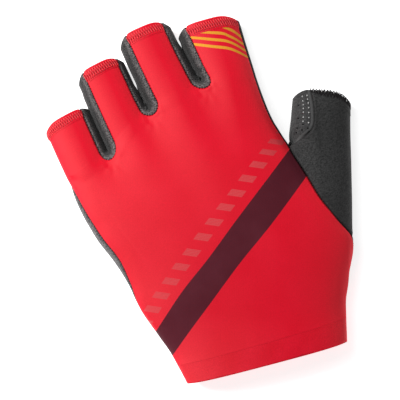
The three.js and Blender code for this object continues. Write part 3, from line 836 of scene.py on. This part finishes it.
class Shade:
    """A material's node tree, with short calls for the nodes it is made of."""

    def __init__(self, name, **surface):
        self.material = bpy.data.materials.new(name)
        self.material.use_nodes = True
        self.tree = self.material.node_tree
        self.bsdf = self.tree.nodes["Principled BSDF"]
        for key, value in surface.items():
            self.bsdf.inputs[key.replace("_", " ")].default_value = value

    def node(self, kind, out=0, settings=(), **inputs):
        node = self.tree.nodes.new(kind)
        for key, value in dict(settings).items():
            setattr(node, key, value)
        for key, value in inputs.items():
            numbered = key[0] == "i" and key[1:].isdigit()
            self.put(node.inputs[int(key[1:]) if numbered else key.replace("_", " ")], value)
        return node.outputs[out]

    def put(self, socket, value):
        if isinstance(value, bpy.types.NodeSocket):
            self.tree.links.new(value, socket)
        elif value is not None:
            socket.default_value = value

    def math(self, operation, a, b=None):
        return self.node("ShaderNodeMath", 0, {"operation": operation}, i0=a, i1=b)

    def off_whole(self, value):
        """How far a value is from the nearest whole number."""
        return self.math("ABSOLUTE", self.math("SUBTRACT", value, self.math("ROUND", value)))

    def attribute(self, name):
        return self.node("ShaderNodeAttribute", "Fac", {"attribute_name": name})

    def place(self):
        return self.node("ShaderNodeTexCoord", "Object")

    def stretched(self, scale, turn_deg):
        turn = (0, 0, turn_deg * RAD)
        return self.node("ShaderNodeMapping", Vector=self.place(), Rotation=turn, Scale=scale)

    def noise(self, vector, scale, detail=2, roughness=0.5):
        return self.node(
            "ShaderNodeTexNoise", Vector=vector, Scale=scale, Detail=detail, Roughness=roughness
        )

    def step(self, value, low, high, start=0, end=1):
        """Value taken from low..high to start..end, held at both ends."""
        return self.node(
            "ShaderNodeMapRange", 0, {"clamp": True},
            Value=value, From_Min=low, From_Max=high, To_Min=start, To_Max=end,
        )

    def mix(self, share, a, b, blend="MIX"):
        node = self.tree.nodes.new("ShaderNodeMix")
        node.data_type = "RGBA"
        node.blend_type = blend
        self.put(node.inputs[0], share)
        self.put(node.inputs[6], a)
        self.put(node.inputs[7], b)
        return node.outputs[2]

    def bump(self, height, strength, distance):
        return self.node("ShaderNodeBump", Height=height, Strength=strength, Distance=distance / METRE)

    def surface(self, color, rough, normal=None):
        self.put(self.bsdf.inputs["Base Color"], color)
        self.put(self.bsdf.inputs["Roughness"], rough)
        self.put(self.bsdf.inputs["Normal"], normal)
        return self.material


RED = srgb(228, 9, 38)
RED_LIGHT = srgb(234, 18, 46)
# Painted light for the red cloth: a pale painted highlight, and a brighter red painted fill light on slopes
# facing away
PAINTED_HIGHLIGHT = srgb(250, 112, 112)
PAINTED_FAR_SIDE_LIGHT = srgb(255, 42, 58)
MAROON = srgb(80, 26, 38)
MAROON_LIGHT = srgb(88, 34, 46)
DASH = srgb(216, 82, 86)
DASH_LINES = 11
YELLOW = srgb(240, 166, 50)
LOOP_SHADOW = srgb(120, 0, 14)
KNIT_PITCH = 0.42
# Direction of the painted light: slopes that face it get a painted highlight, slopes facing away a painted
# fill light
PAINTED_LIGHT_FROM = (-0.46, 0.3, 0.835)


def knit(shade):
    """Height of a fine weft knit: ribs one way, broken into loops the other way."""
    bands = []
    for way, waves_apart, distortion in (("X", 20, 0.6), ("Y", 14, 0.8)):
        bands.append(shade.node(
            "ShaderNodeTexWave", 1, {"wave_type": "BANDS", "bands_direction": way},
            Vector=shade.stretched((1, 1, 1), PHOTO_TURN_DEG), Detail=1, Distortion=distortion,
            Scale=METRE / KNIT_PITCH / waves_apart * math.pi,
        ))
    return shade.math("MULTIPLY", *bands)


def seam_shadow(shade, color, reach=0.9, depth=0.35):
    """Color darkened and dulled close to a seam."""
    return shade.mix(1, color, shade.step(shade.attribute("rim"), 0, reach, depth, 1), "MULTIPLY")


def painted_light_by_slope(shade, color):
    """Painted light by slope: red paler with a painted highlight on slopes that face one side, fuller with a
    painted fill light on those facing away.
    """
    facing = shade.node(
        "ShaderNodeVectorMath", "Value", {"operation": "DOT_PRODUCT"},
        i0=shade.node("ShaderNodeNewGeometry", "Normal"), i1=PAINTED_LIGHT_FROM,
    )
    # Painted highlight on slopes that face the light
    color = shade.mix(shade.step(facing, 0.8, 0.985, 0, 0.2), color, PAINTED_HIGHLIGHT)
    # Painted fill light on slopes that face away from the light
    return shade.mix(shade.step(facing, 0.45, 0.83, 0.95, 0), color, PAINTED_FAR_SIDE_LIGHT)


def red_knit(name, sheen_roughness):
    return Shade(
        name, Specular_IOR_Level=0.12, Sheen_Weight=0.02, Sheen_Roughness=sheen_roughness,
        Sheen_Tint=(1, 0.55, 0.5, 1),
    )


def with_dashes(shade, color):
    """Light red dashes with fine lines, in a row beside the band."""
    phase = shade.attribute("dash")
    dash = shade.math(
        "MULTIPLY",
        shade.step(shade.off_whole(phase), 0.205, 0.235, 1, 0),
        shade.step(shade.math("ABSOLUTE", shade.attribute("dash_side")), 3.4, 3.65, 1, 0),
    )
    lines = shade.math("SINE", shade.math("MULTIPLY", phase, 2 * math.pi * DASH_LINES))
    dash_color = shade.mix(shade.step(lines, -1, 1, 0, 0.55), DASH, RED_LIGHT)
    return shade.mix(shade.math("MULTIPLY", dash, 0.92), color, dash_color)


def with_band(shade, color, clouds):
    """Dark band across the back."""
    band = shade.math(
        "MULTIPLY",
        shade.step(shade.attribute("band_top"), -0.12, 0.12, 1, 0),
        shade.step(shade.attribute("band_foot"), -0.12, 0.12, 0, 1),
    )
    return shade.mix(band, color, shade.mix(shade.step(clouds, 0.4, 0.7), MAROON, MAROON_LIGHT))


def with_stripes(shade, color):
    """Yellow stripes on the index finger."""
    count = shade.attribute("stripe")
    first, last = shade.math("GREATER_THAN", count, -0.5), shade.math("LESS_THAN", count, 3.5)
    stripe = shade.math(
        "MULTIPLY", shade.step(shade.off_whole(count), 0.17, 0.23, 1, 0), shade.math("MULTIPLY", first, last)
    )
    return shade.mix(stripe, color, YELLOW)


def printed_cloth():
    shade = red_knit("red_stretch_cloth", 0.4)
    clouds = shade.noise(shade.place(), 60, 3)
    # Red with a painted highlight and a painted fill light by slope
    color = painted_light_by_slope(shade, shade.mix(shade.step(clouds, 0.35, 0.65, 0.2, 0.8), RED, RED_LIGHT))
    color = with_stripes(shade, with_band(shade, with_dashes(shade, color), clouds))
    grain = shade.noise(shade.stretched((1, 2.5, 1), PHOTO_TURN_DEG), 1400)
    color = shade.mix(shade.step(grain, 0.3, 0.7, 0.16, 0), color, LOOP_SHADOW)
    height = shade.math("ADD", knit(shade), shade.math("MULTIPLY", grain, 0.6))
    rough = shade.step(grain, 0.2, 0.8, 0.6, 0.75)
    return shade.surface(seam_shadow(shade, color, 0.45, 0.5), rough, shade.bump(height, 0.25, 0.08))


def hem_cloth():
    shade = red_knit("red_hem_cloth", 0.5)
    clouds = shade.noise(shade.place(), 90, 3)
    # Red with a painted highlight and a painted fill light by slope
    color = painted_light_by_slope(shade, shade.mix(shade.step(clouds, 0.35, 0.65), RED, RED_LIGHT))
    grain = shade.noise(shade.place(), 1800)
    color = shade.mix(shade.step(grain, 0.3, 0.7, 0.2, 0), color, LOOP_SHADOW)
    height = shade.math("ADD", knit(shade), grain)
    rough = shade.step(grain, 0.2, 0.8, 0.5, 0.65)
    return shade.surface(seam_shadow(shade, color, 0.5, 0.5), rough, shade.bump(height, 0.3, 0.09))


def mesh_cloth():
    shade = Shade("grey_mesh_cloth", Specular_IOR_Level=0.3, Sheen_Weight=0.15, Sheen_Roughness=0.6)
    place = shade.stretched((1, 1.25, 1), 20)
    cells = shade.node("ShaderNodeTexVoronoi", Vector=place, Scale=820, Randomness=0.6)
    speckle = shade.noise(shade.place(), 1500, 3, 0.7)
    holes = shade.step(cells, 0.16, 0.5, 1, 0)
    color = shade.mix(shade.step(speckle, 0.35, 0.65), srgb(54, 54, 55), srgb(132, 127, 126))
    color = shade.mix(shade.math("MULTIPLY", holes, 0.85), color, srgb(26, 24, 26))
    # Painted shade: the mesh darkens towards the middle of each gusset's crease and in its pinches
    color = shade.mix(1, color, shade.step(shade.attribute("groove"), 0.06, 0.34, 1, 0.13), "MULTIPLY")
    color = seam_shadow(shade, color, 0.5, 0.5)
    height = shade.math("SUBTRACT", speckle, holes)
    return shade.surface(color, 0.85, shade.bump(height, 0.7, 0.25))


def suede(name, dark, light, fold_highlight=None):
    shade = Shade(name, Specular_IOR_Level=0.25, Sheen_Weight=0.12, Sheen_Roughness=0.5)
    nap = shade.noise(shade.place(), 1300, 4, 0.65)
    fibres = shade.noise(shade.stretched((1, 3, 1), 30), 700, 2, 0.6)
    patches = shade.noise(shade.place(), 70, 3)
    blend = shade.math("ADD", shade.math("MULTIPLY", nap, 0.65), shade.math("MULTIPLY", fibres, 0.35))
    color = shade.mix(shade.step(blend, 0.36, 0.64), dark, light)
    color = shade.mix(shade.step(patches, 0.35, 0.65, 0, 0.25), color, dark)
    if fold_highlight:
        # Painted highlight: a lighter band along the folded seam edge
        color = shade.mix(shade.step(shade.attribute("rim"), 1.3, 1.7, 0.7, 0), color, fold_highlight)
    color = seam_shadow(shade, color, 0.85, 0.22)
    return shade.surface(color, shade.step(nap, 0.3, 0.7, 0.95, 0.8), shade.bump(blend, 0.5, 0.3))


def thread_look(name, color, dark):
    shade = Shade(name, Specular_IOR_Level=0.12, Sheen_Weight=0.05)
    fibre = shade.noise(shade.place(), 2600)
    color = shade.mix(shade.step(fibre, 0.3, 0.7), dark, color)
    return shade.surface(color, 0.6, shade.bump(fibre, 0.3, 0.05))


LOOKS = {
    "red_cloth": printed_cloth(),
    "red_hem": hem_cloth(),
    "grey_mesh": mesh_cloth(),
    "suede": suede("dark_suede", srgb(30, 30, 30), srgb(66, 66, 66)),
    # The grip's last colour is a painted highlight on its folded edge
    "suede_grip": suede("grip_suede", srgb(34, 34, 34), srgb(78, 78, 78), srgb(84, 84, 84)),
}
for name, color, dark in (
    ("dark_thread", (40, 34, 36), (16, 12, 14)),
    ("red_thread", (250, 96, 98), (216, 44, 56)),
    ("deep_red_thread", (214, 24, 44), (150, 6, 26)),
    ("perforation_light", (204, 204, 203), (160, 160, 160)),
    ("perforation_dark", (14, 14, 14), (6, 6, 6)),
):
    LOOKS[name] = thread_look(name, srgb(*color), srgb(*dark))

# Print layout, in photo pixels of 0.48 mm
PIXEL = 0.48
PHOTO_MIDDLE = np.array([200, 250])
HAND_SHIFT = np.array([7.26, -63.143])
DASH_CENTRES = [
    (276, 142.3), (267.5, 152.6), (257.7, 165.1), (247, 178.9), (236.3, 193.2), (225.2, 207.2),
    (214, 221.9), (202.9, 236.7), (191.7, 252.2), (181, 266.3), (171.1, 280.8), (161.4, 294.9), (153, 308.7),
]
BAND_TOP = [(59.8, 26.0), (45.7, 18.5), (22.1, 6.0), (1.2, -5.5), (-15.5, -13.9), (-34.5, -25.6)]
BAND_FOOT = [(61.4, 10.7), (35.5, -3.3), (15.0, -13.3), (-4.9, -24.2), (-20.6, -32.8), (-33.7, -40.4)]
STRIPES = [
    [(203, 26.9), (211.5, 26.9), (219, 26.6), (225.5, 28.5), (233.2, 31.7), (239.9, 36.5)],
    [(195.3, 32.3), (209.6, 33.3), (224.2, 34.6), (228.7, 36.8), (235.1, 39.7), (241.8, 43.8)],
    [(190.8, 38.1), (212.8, 40.3), (226.8, 41.9), (235.7, 45.4), (244, 50.2)],
    [(195.3, 45.1), (212.8, 47.3), (228.7, 49.2), (238.3, 52.7), (246.6, 56.9)],
]


def hand_of(points):
    """Plan place measured from the photo's own origin, in millimetres."""
    return points[:, :2] + HAND_SHIFT


def photo_turned(places):
    """Plan places turned and mirrored into the photo's frame, or back out of it."""
    sine, cosine = RAISE_WAY
    return places @ np.array([[cosine, -sine], [-sine, -cosine]])


def pixel_of(points):
    return PHOTO_MIDDLE + photo_turned(hand_of(points)) / PIXEL


def line_through(points, at):
    """Second value of a smooth line through points, at values of the first, straight on past its ends."""
    points = np.array(sorted(points), float)
    dense = smooth_curve(np.column_stack([points, points[:, 0] * 0]), np.linspace(0, len(points) - 1, 200))
    x, y = dense[:, 0], dense[:, 1]
    value = np.interp(at, x, y)
    first, last = (y[8] - y[0]) / (x[8] - x[0]), (y[-1] - y[-9]) / (x[-1] - x[-9])
    value = np.where(at < x[0], y[0] + (at - x[0]) * first, value)
    return np.where(at > x[-1], y[-1] + (at - x[-1]) * last, value)


DASH_ROW = np.array([-0.6, 0.8])
DASH_LONG = np.array([0.99, 0.14])


def oblique(x, y):
    """A pixel place as steps along the row of dashes and along a dash's long side."""
    return np.linalg.inv(np.column_stack([DASH_ROW, DASH_LONG])) @ np.array([x, y])


def print_layout(points, on_index):
    hand = hand_of(points)
    lay = {
        "band_top": hand[:, 1] - line_through(BAND_TOP, hand[:, 0]),
        "band_foot": hand[:, 1] - line_through(BAND_FOOT, hand[:, 0]),
    }
    x, y = pixel_of(points).T
    along, side = oblique(x, y)
    centre_along, centre_side = oblique(*np.array(DASH_CENTRES).T)
    numbered = list(zip(centre_along, range(len(DASH_CENTRES))))
    lay["dash"] = line_through(numbered, along)
    lay["dash_side"] = (side - line_through(list(zip(centre_along, centre_side)), along)) * PIXEL
    lines = np.array([line_through(stripe, x) for stripe in STRIPES])
    count = (y - lines[0]) / (lines[1] - lines[0])
    for k in range(1, len(lines)):
        gap = lines[min(k + 1, len(lines) - 1)] - lines[min(k, len(lines) - 2)]
        count = np.where(y > lines[k], k + (y - lines[k]) / gap, count)
    lay["stripe"] = np.where(on_index, np.clip(count, -4, 4), 4)
    return lay


# Panels as thin shells with worked edges
SEAM_DRAW = 0.03
LIP_STEPS = 4
RIM_DOTS = 4
NO_SEAM = 9.0
OFF_FLOOR = 0.01
SHARP_DEG = 55


def edge_codes(quads):
    starts = quads.ravel()
    ends = np.roll(quads, -1, axis=1).ravel()
    keep = starts != ends
    return starts[keep], ends[keep]


size_code = len(skin)
every_start, every_end = edge_codes(all_quads)
pair_codes = np.minimum(every_start, every_end) * size_code + np.maximum(every_start, every_end)
pairs, uses = np.unique(pair_codes, return_counts=True)
free_pairs = set(pairs[uses == 1].tolist())


def seam_profile(distance, depth=0.5, ridge=0.14):
    return -depth * np.exp(-((distance / 0.5) ** 2)) + ridge * np.exp(-(((distance - 1.15) / 0.55) ** 2))


def row_places(name, row):
    """The skin's points in one row of a panel's first grid."""
    panel = PANELS[name]
    columns = panel["grids"][0].shape[1]
    return place_of[panel["raw"][0].min() + row * columns + np.arange(columns)].tolist()


# Hems are turned over and lie on in one sweep, so no groove shows along them
quiet = {*row_places("cuff_hem", 0), *row_places("thumb_hem", HEM_STEPS - 1)}
for finger in fingers:
    quiet.update(row_places(finger["name"] + "_hem", HEM_STEPS))


def dot_tree(dots):
    tree = kdtree.KDTree(len(dots))
    for i, dot in enumerate(dots):
        tree.insert(dot, i)
    tree.balance()
    return tree


def nearest(tree, points):
    return np.array([tree.find(p)[2] for p in points])


def new_object(name, vertices, faces, look):
    data = bpy.data.meshes.new(name)
    data.from_pydata(((vertices + FRAME_SHIFT) / METRE).tolist(), [], faces)
    data.materials.append(LOOKS[look])
    data.polygons.foreach_set("use_smooth", np.full(len(data.polygons), True))
    data.update()
    thing = bpy.data.objects.new(name, data)
    bpy.context.scene.collection.objects.link(thing)
    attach(thing, "root")
    return thing


def open_edges(local):
    """Edges that only one of a panel's quads uses."""
    starts, ends = edge_codes(local)
    forward = set((starts * size_code + ends).tolist())
    return [(a, b) for a, b in zip(starts.tolist(), ends.tolist()) if b * size_code + a not in forward]


def lip(outer, inner, inward):
    """Points round a free edge, between its outer and its inner one."""
    half = (outer - inner) / 2
    reach = np.linalg.norm(half)
    turns = np.pi * np.arange(1, LIP_STEPS)[:, None] / LIP_STEPS
    rings = inner + half + half * np.cos(turns) - inward * reach * np.sin(turns)
    rings[:, 2] = np.maximum(rings[:, 2], OFF_FLOOR)
    return rings


def shell_faces(local, rims, free_at, ring_of, count):
    """Faces of the cloth's two sides, its rounded free edges and its flat sewn ones."""
    faces = []
    for quad in local.tolist():
        kept = [v for i, v in enumerate(quad) if v != quad[i - 1]]
        if len(kept) > 2:
            faces += [kept, [count + v for v in reversed(kept)]]
    for a, b in rims:
        if (a, b) in free_at.get(a, ()):
            from_run = [a, *ring_of[a], count + a]
            to_run = [b, *ring_of[b], count + b]
            for k in range(LIP_STEPS):
                faces.append([to_run[k], from_run[k], from_run[k + 1], to_run[k + 1]])
        else:
            faces.append([b, a, count + a, count + b])
    for v, at in free_at.items():
        if len(at) == 1:
            cap = [v, *ring_of[v], count + v]
            faces.append(cap if at[0][1] == v else cap[::-1])
    return faces


def painted_crease_shade_of(panel):
    """How deep each skin point lies in a gusset, used for painted crease shade: 0 at its seams, 1 in its
    middle and its pinches.
    """
    level = np.tile(1 - abs(2 * gusset_levels - 1), len(panel["grids"][0]))
    first = panel["raw"][0].min()
    groove = np.zeros(len(skin))
    groove[place_of[first : first + level.size]] = level
    for x, y, wide, long in PINCHES:
        out, turn = around(skin, (x, y), wide, long)
        folds = 1.3 + 0.5 * np.cos(PINCH_FOLDS * turn + FOLD_TURN)
        groove = np.maximum(groove, np.exp(-out * folds))
    return groove


def shell(name, panel):
    """One cloth panel with a wall, closed seam edges and rounded free edges."""
    wall, rise, look = panel["wall"], panel["rise"], panel["look"]
    places, local = np.unique(panel["quads"], return_inverse=True)
    local = local.reshape(-1, 4)
    points, normal = skin[places], normals[places]
    rims = open_edges(local)
    inward = np.zeros_like(points)
    seam_dots, free_at, seam_at = [], {}, set()
    for a, b in rims:
        run = points[b] - points[a]
        aside = unit(np.cross(normal[a], run))
        inward[a] += aside
        inward[b] += aside
        low, high = sorted((int(places[a]), int(places[b])))
        if low * size_code + high in free_pairs:
            free_at.setdefault(a, []).append((a, b))
            free_at.setdefault(b, []).append((a, b))
            continue
        seam_at.update((a, b))
        if low not in quiet or high not in quiet:
            seam_dots += [points[a] + run * k / RIM_DOTS for k in range(RIM_DOTS + 1)]
    inward = unit(inward)
    draw = np.zeros(len(points))
    draw[list(seam_at)] = SEAM_DRAW
    draw[list(free_at)] = wall / 2
    rim = nearest(dot_tree(seam_dots), points) if seam_dots else np.full(len(points), NO_SEAM)
    placed = points + inward * draw[:, None]
    outer = placed + normal * (rise + panel.get("profile", seam_profile)(rim))[:, None]
    outer[:, 2] = np.maximum(outer[:, 2], OFF_FLOOR)
    inner = placed + normal * (rise - wall)
    count = len(points)
    free = sorted(free_at)
    rings = [lip(outer[v], inner[v], inward[v]) for v in free]
    lips = LIP_STEPS - 1
    ring_of = {v: range(2 * count + i * lips, 2 * count + (i + 1) * lips) for i, v in enumerate(free)}
    faces = shell_faces(local, rims, free_at, ring_of, count)
    thing = new_object(name + "_cloth", np.concatenate([outer, inner, *rings]), faces, look)
    thing.data.set_sharp_from_angle(angle=SHARP_DEG * RAD)
    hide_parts(name)
    values = {"rim": rim}
    # Depth in the gusset, which the mesh cloth turns into painted crease shade
    if name in GUSSETS:
        values["groove"] = painted_crease_shade_of(panel)[places]
    if name == "back_panel":
        index_places = np.unique(place_of[panel["raw"][LAST]])
        values.update(print_layout(points, np.isin(places, index_places)))
    owner = np.concatenate([np.arange(count), np.arange(count), np.repeat(np.array(free, int), lips)])
    for key, value in values.items():
        layer = thing.data.attributes.new(key, "FLOAT", "POINT")
        layer.data.foreach_set("value", value[owner].astype(np.float32))


def hem_profile(distance):
    return seam_profile(distance, 0.55, 0.05)


def cuff_profile(distance):
    return -0.07 * np.exp(-((distance / 0.5) ** 2))


for name, panel in PANELS.items():
    if name.endswith("_hem"):
        panel["profile"] = cuff_profile if name == "cuff_hem" else hem_profile
    shell(name, panel)


# Stitching
FLOOR_GAP = 0.02
THREAD_END = 0.55
STITCH_PITCH = 1.3
STITCH_LENGTH = 0.8
STITCH_RADIUS = 0.17
STITCH_LEAN = 0.45
STITCH_LIFT = -0.05
STITCH_ARCH = 0.35


def grid_normals(grid):
    down = np.gradient(grid, axis=0)
    aside = np.gradient(grid, axis=1)
    return unit(np.cross(down, aside))


def threads(name, paths, normal, radius, look, sides=6):
    """Rounded threads along short paths, an array of runs of points, all in one mesh."""
    paths = np.array(paths, float)
    paths[..., 2] = np.maximum(paths[..., 2], radius + FLOOR_GAP)
    runs, rings, _ = paths.shape
    along = unit(np.gradient(paths, axis=1))
    side = unit(np.cross(along, np.asarray(normal)[:, None, :]))
    up = np.cross(side, along)
    taper = np.ones(rings)
    taper[[0, -1]] = THREAD_END
    turn = 2 * np.pi * np.arange(sides) / sides
    reach = radius * taper[None, :, None, None]
    spokes = side[:, :, None] * np.cos(turn)[:, None] + up[:, :, None] * np.sin(turn)[:, None]
    vertices = (paths[:, :, None] + spokes * reach).reshape(-1, 3)
    faces = []
    for run in range(runs):
        base = run * rings * sides
        for ring in range(rings - 1):
            first = base + ring * sides
            for k in range(sides):
                after = (k + 1) % sides
                faces.append([first + k, first + after, first + sides + after, first + sides + k])
        faces.append(list(range(base + sides - 1, base - 1, -1)))
        faces.append(list(range(base + (rings - 1) * sides, base + rings * sides)))
    new_object(name, vertices, faces, look)


def even_places(line, pitch, start=0.5):
    """Row numbers, with fractions, at even steps along a line of points."""
    lengths = run_lengths(line)
    count = int(lengths[-1] / pitch)
    return np.interp((np.arange(count) + start) * lengths[-1] / count, lengths, np.arange(len(line)))


def between(values, places):
    low = np.minimum(places.astype(int), len(values) - 2)
    share = (places - low).reshape(-1, *[1] * (values.ndim - 1))
    return values[low] * (1 - share) + values[low + 1] * share


def seam_stitches(name, slot, grid, column, beside, rows=slice(None)):
    """Short slanting stitches down a grid's column that lies on a seam, each one bridging its groove."""
    line, toward = grid[rows, column], grid[rows, beside] - grid[rows, column]
    places = even_places(line, STITCH_PITCH)
    at, across = between(line, places), between(toward, places)
    up = unit(between(grid_normals(grid)[rows, column], places))
    run = unit(between(np.gradient(line, axis=0), places))
    across = unit(across - np.einsum("ij,ij->i", across, up)[:, None] * up)
    slant = across * math.cos(STITCH_LEAN) + run * math.sin(STITCH_LEAN)
    shares = np.linspace(-0.5, 0.5, 5)
    arch = STITCH_LIFT - STITCH_ARCH * (2 * shares) ** 4
    paths = at[:, None] + slant[:, None] * (shares * STITCH_LENGTH)[None, :, None]
    paths += up[:, None] * arch[None, :, None]
    threads(name + "_stitches", paths, up, STITCH_RADIUS, "dark_thread")


for label, grid in zip(GAP_NAMES, gussets):
    seam_stitches(label + "_back", "grey_mesh", grid, 0, 1)
    seam_stitches(label + "_palm", "grey_mesh", grid, -1, -2)

strip_whole = np.concatenate([strip_finger, strip_body[1:]])
seam_stitches("strip_back", "grey_mesh", strip_whole, -1, -2)
seam_stitches("strip_palm", "suede", strip_whole, 0, 1)
back_right = np.concatenate([back_fingers[LAST][:, -3:], back_body[1:, -3:]])
crotch_row = len(back_fingers[LAST]) - 1 + open_rows.start
foot_row = len(back_fingers[LAST]) - 2 + open_rows.stop
seam_stitches("index_side", "suede", back_right, -1, -2, slice(0, crotch_row))
seam_stitches("thumb_seam", "suede", back_right, -1, -2, slice(crotch_row, foot_row))
seam_stitches("wrist_side", "suede", back_right, -1, -2, slice(foot_row, None))


# How a cover stitch's two threads run: label, look, first place, slant, radius, lift
COVER_THREADS = [
    ("light", "red_thread", 0.25, 1.0, 0.25, 0.1),
    ("deep", "deep_red_thread", 0.75, -1.0, 0.24, 0.04),
]
COVER_PITCH = 1.15
COVER_ROWS = (1.6, HEM_STEPS - 0.8)
COVER_ARCH = 0.25


def cover_stitches(name, grid):
    """The two-needle cover stitch on a finger's hem: light threads slanting to and fro over darker ones."""
    normal = grid_normals(grid)
    middle = grid[HEM_STEPS // 2]
    per_mm = (len(middle) - 1) / run_lengths(middle)[-1]
    for label, look, start, slant, radius, lift in COVER_THREADS:
        base = even_places(middle, COVER_PITCH, start)
        paths = []
        for t in np.linspace(0, 1, 7):
            down = lerp(*COVER_ROWS, t)
            across = np.clip(base + (t - 0.5) * slant * per_mm, 0, len(middle) - 1)
            line = between(grid, np.array([down]))[0]
            rise = HEM_LIFT + lift - COVER_ARCH * (2 * t - 1) ** 6
            paths.append(between(line, across) + between(normal[int(down)], across) * rise)
        up = between(normal[HEM_STEPS // 2], base)
        threads(f"{name}_{label}_cover_stitches", np.stack(paths, axis=1), up, radius, look)


for finger, grid in zip(fingers, back_fingers):
    cover_stitches(finger["name"], grid[: HEM_STEPS + 1])

# Thumb's overlocked mouth and perforated grip
LIGHT_HOLES = [
    (304.9, 95.8), (305.5, 99.7), (306.3, 103.7), (307.8, 108.6), (308.8, 113.4), (309.2, 118.2),
    (309.5, 123.3), (301.2, 97.2), (301.7, 101.2), (302.1, 104.9), (303.4, 108.6), (303.9, 113),
    (304.3, 117.7), (303.4, 121.9),
]
DARK_HOLES = [
    (297.8, 105.5), (299.3, 119.2), (301.8, 124.6), (305.3, 127.7), (301.8, 130), (298.5, 128.3),
    (296, 133.1),
]
LIGHT_SPECKS = [
    (313, 91.6), (315.9, 90.6), (321.5, 91.5), (325.2, 92.1), (328.8, 91.4), (333.2, 93.9), (335.8, 93.2),
    (341.3, 96.6), (345.5, 101.1),
]
HOLE_LENGTH = 0.34
SPECK_LIFT = 0.42
FACING_UP = 0.12


def on_thumb(pixels):
    """Points and normals of the thumb's upper side under pixels of the photo."""
    plan = photo_turned((np.array(pixels) - PHOTO_MIDDLE) * PIXEL) - HAND_SHIFT
    upper = places_of(["thumb_back", "thumb_hem", "thumb_grip_panel"])
    upper = upper[normals[upper, 2] > FACING_UP]
    away = np.linalg.norm(skin[upper, None, :2] - plan, axis=2)
    found = upper[np.argmin(away, axis=0)]
    return skin[found], normals[found]


def pellets(name, pixels, radius, look, lift=0.04):
    at, up = on_thumb(pixels)
    run = unit(axis - up * (up @ axis)[:, None])
    shares = np.array([-1, -0.6, 0, 0.6, 1])
    paths = at[:, None] + run[:, None] * (shares * HOLE_LENGTH)[None, :, None] + up[:, None] * lift
    threads(name, paths, up, radius, look, 8)


pellets("grip_light_holes", LIGHT_HOLES, 0.34, "perforation_light")
pellets("grip_dark_holes", DARK_HOLES, 0.4, "perforation_dark")
pellets("thumb_light_specks", LIGHT_SPECKS, 0.24, "perforation_light", SPECK_LIFT)


# Each step of an overlock loop: rows down, way beyond the edge, lift
OVERLOCK_RUN = [(5, 0, 0.02), (3, 0, 0.2), (1, 0, 0.24), (0, 0.25, 0.1), (0, 0.35, -0.3), (0, 0.1, -0.8)]
OVERLOCK_MIDDLE = 2.5
OVERLOCK_PITCH = 1.5
OVERLOCK_RADIUS = 0.19
OVERLOCK_SLANT = 1.3


def overlock(name, grid, slant):
    """Threads looped to and fro over a raw mouth edge."""
    normal = grid_normals(grid)
    base = even_places(grid[0], OVERLOCK_PITCH, 0.5 + slant / 4)
    per_mm = (grid.shape[1] - 1) / run_lengths(grid[0])[-1]
    paths = []
    for down, beyond, lift in OVERLOCK_RUN:
        aside = (1 - down / OVERLOCK_MIDDLE) * slant / 2 * per_mm
        across = np.clip(base + aside, 0, grid.shape[1] - 1)
        up = between(normal[down], across)
        out = unit(between(grid[0] - grid[1], across))
        paths.append(between(grid[down], across) + up * (HEM_LIFT + lift) + out * beyond)
    threads(name, np.stack(paths, axis=1), between(normal[0], base), OVERLOCK_RADIUS, "dark_thread")


overlock("thumb_overlock_over", thumb_back[:HEM_STEPS], OVERLOCK_SLANT)
overlock("thumb_overlock_under", thumb_back[:HEM_STEPS], -OVERLOCK_SLANT)


# Floor, light and camera
def floor_look():
    shade = Shade("pale_floor", Specular_IOR_Level=0.1, Emission_Color=(1, 1, 1, 1), Emission_Strength=0.74)
    mottle = shade.noise(shade.place(), 3)
    return shade.surface(shade.mix(mottle, srgb(250, 250, 250), srgb(253, 253, 253)), 0.9)


bpy.ops.mesh.primitive_plane_add(size=3, location=(0, 0, 0))
floor = bpy.context.object
floor.name = "pale_floor"
floor.data.materials.append(floor_look())


def area_light(name, place, size, power):
    """A round lamp aimed at the frame's origin."""
    data = bpy.data.lights.new(name, "AREA")
    data.shape = "DISK"
    data.size = size
    data.energy = power
    lamp = bpy.data.objects.new(name, data)
    bpy.context.scene.collection.objects.link(lamp)
    lamp.location = place
    x, y, up = place
    lamp.rotation_euler = (math.atan2(math.hypot(x, y), up), 0, math.atan2(-y, -x) - math.pi / 2)


area_light("key", (-0.47, 0.49, 0.57), 0.44, 7.5)
area_light("top", (-0.25, 0.75, 1.5), 0.7, 5.5)

world = bpy.data.worlds.new("studio")
world.use_nodes = True
sky = world.node_tree.nodes["Background"]
sky.inputs["Color"].default_value = (1, 1, 1, 1)
sky.inputs["Strength"].default_value = 0.2
bpy.context.scene.world = world
bpy.context.scene.view_settings.view_transform = "Standard"

CAMERA_HEIGHT = 1.6
SCALE_HEIGHT = 0.009
FIELD = 0.192
SENSOR_WIDTH = 36
camera_data = bpy.data.cameras.new("camera")
camera_data.sensor_width = SENSOR_WIDTH
camera_data.lens = SENSOR_WIDTH * (CAMERA_HEIGHT - SCALE_HEIGHT) / FIELD
camera = bpy.data.objects.new("camera", camera_data)
camera.location = (-0.01548, 0.00231, CAMERA_HEIGHT)
camera.rotation_euler = (0, 0, -PHOTO_TURN_DEG * RAD)
bpy.context.scene.collection.objects.link(camera)
bpy.context.scene.camera = camera


def corners(box):
    return [[float(c) for c in corner] for corner in box]
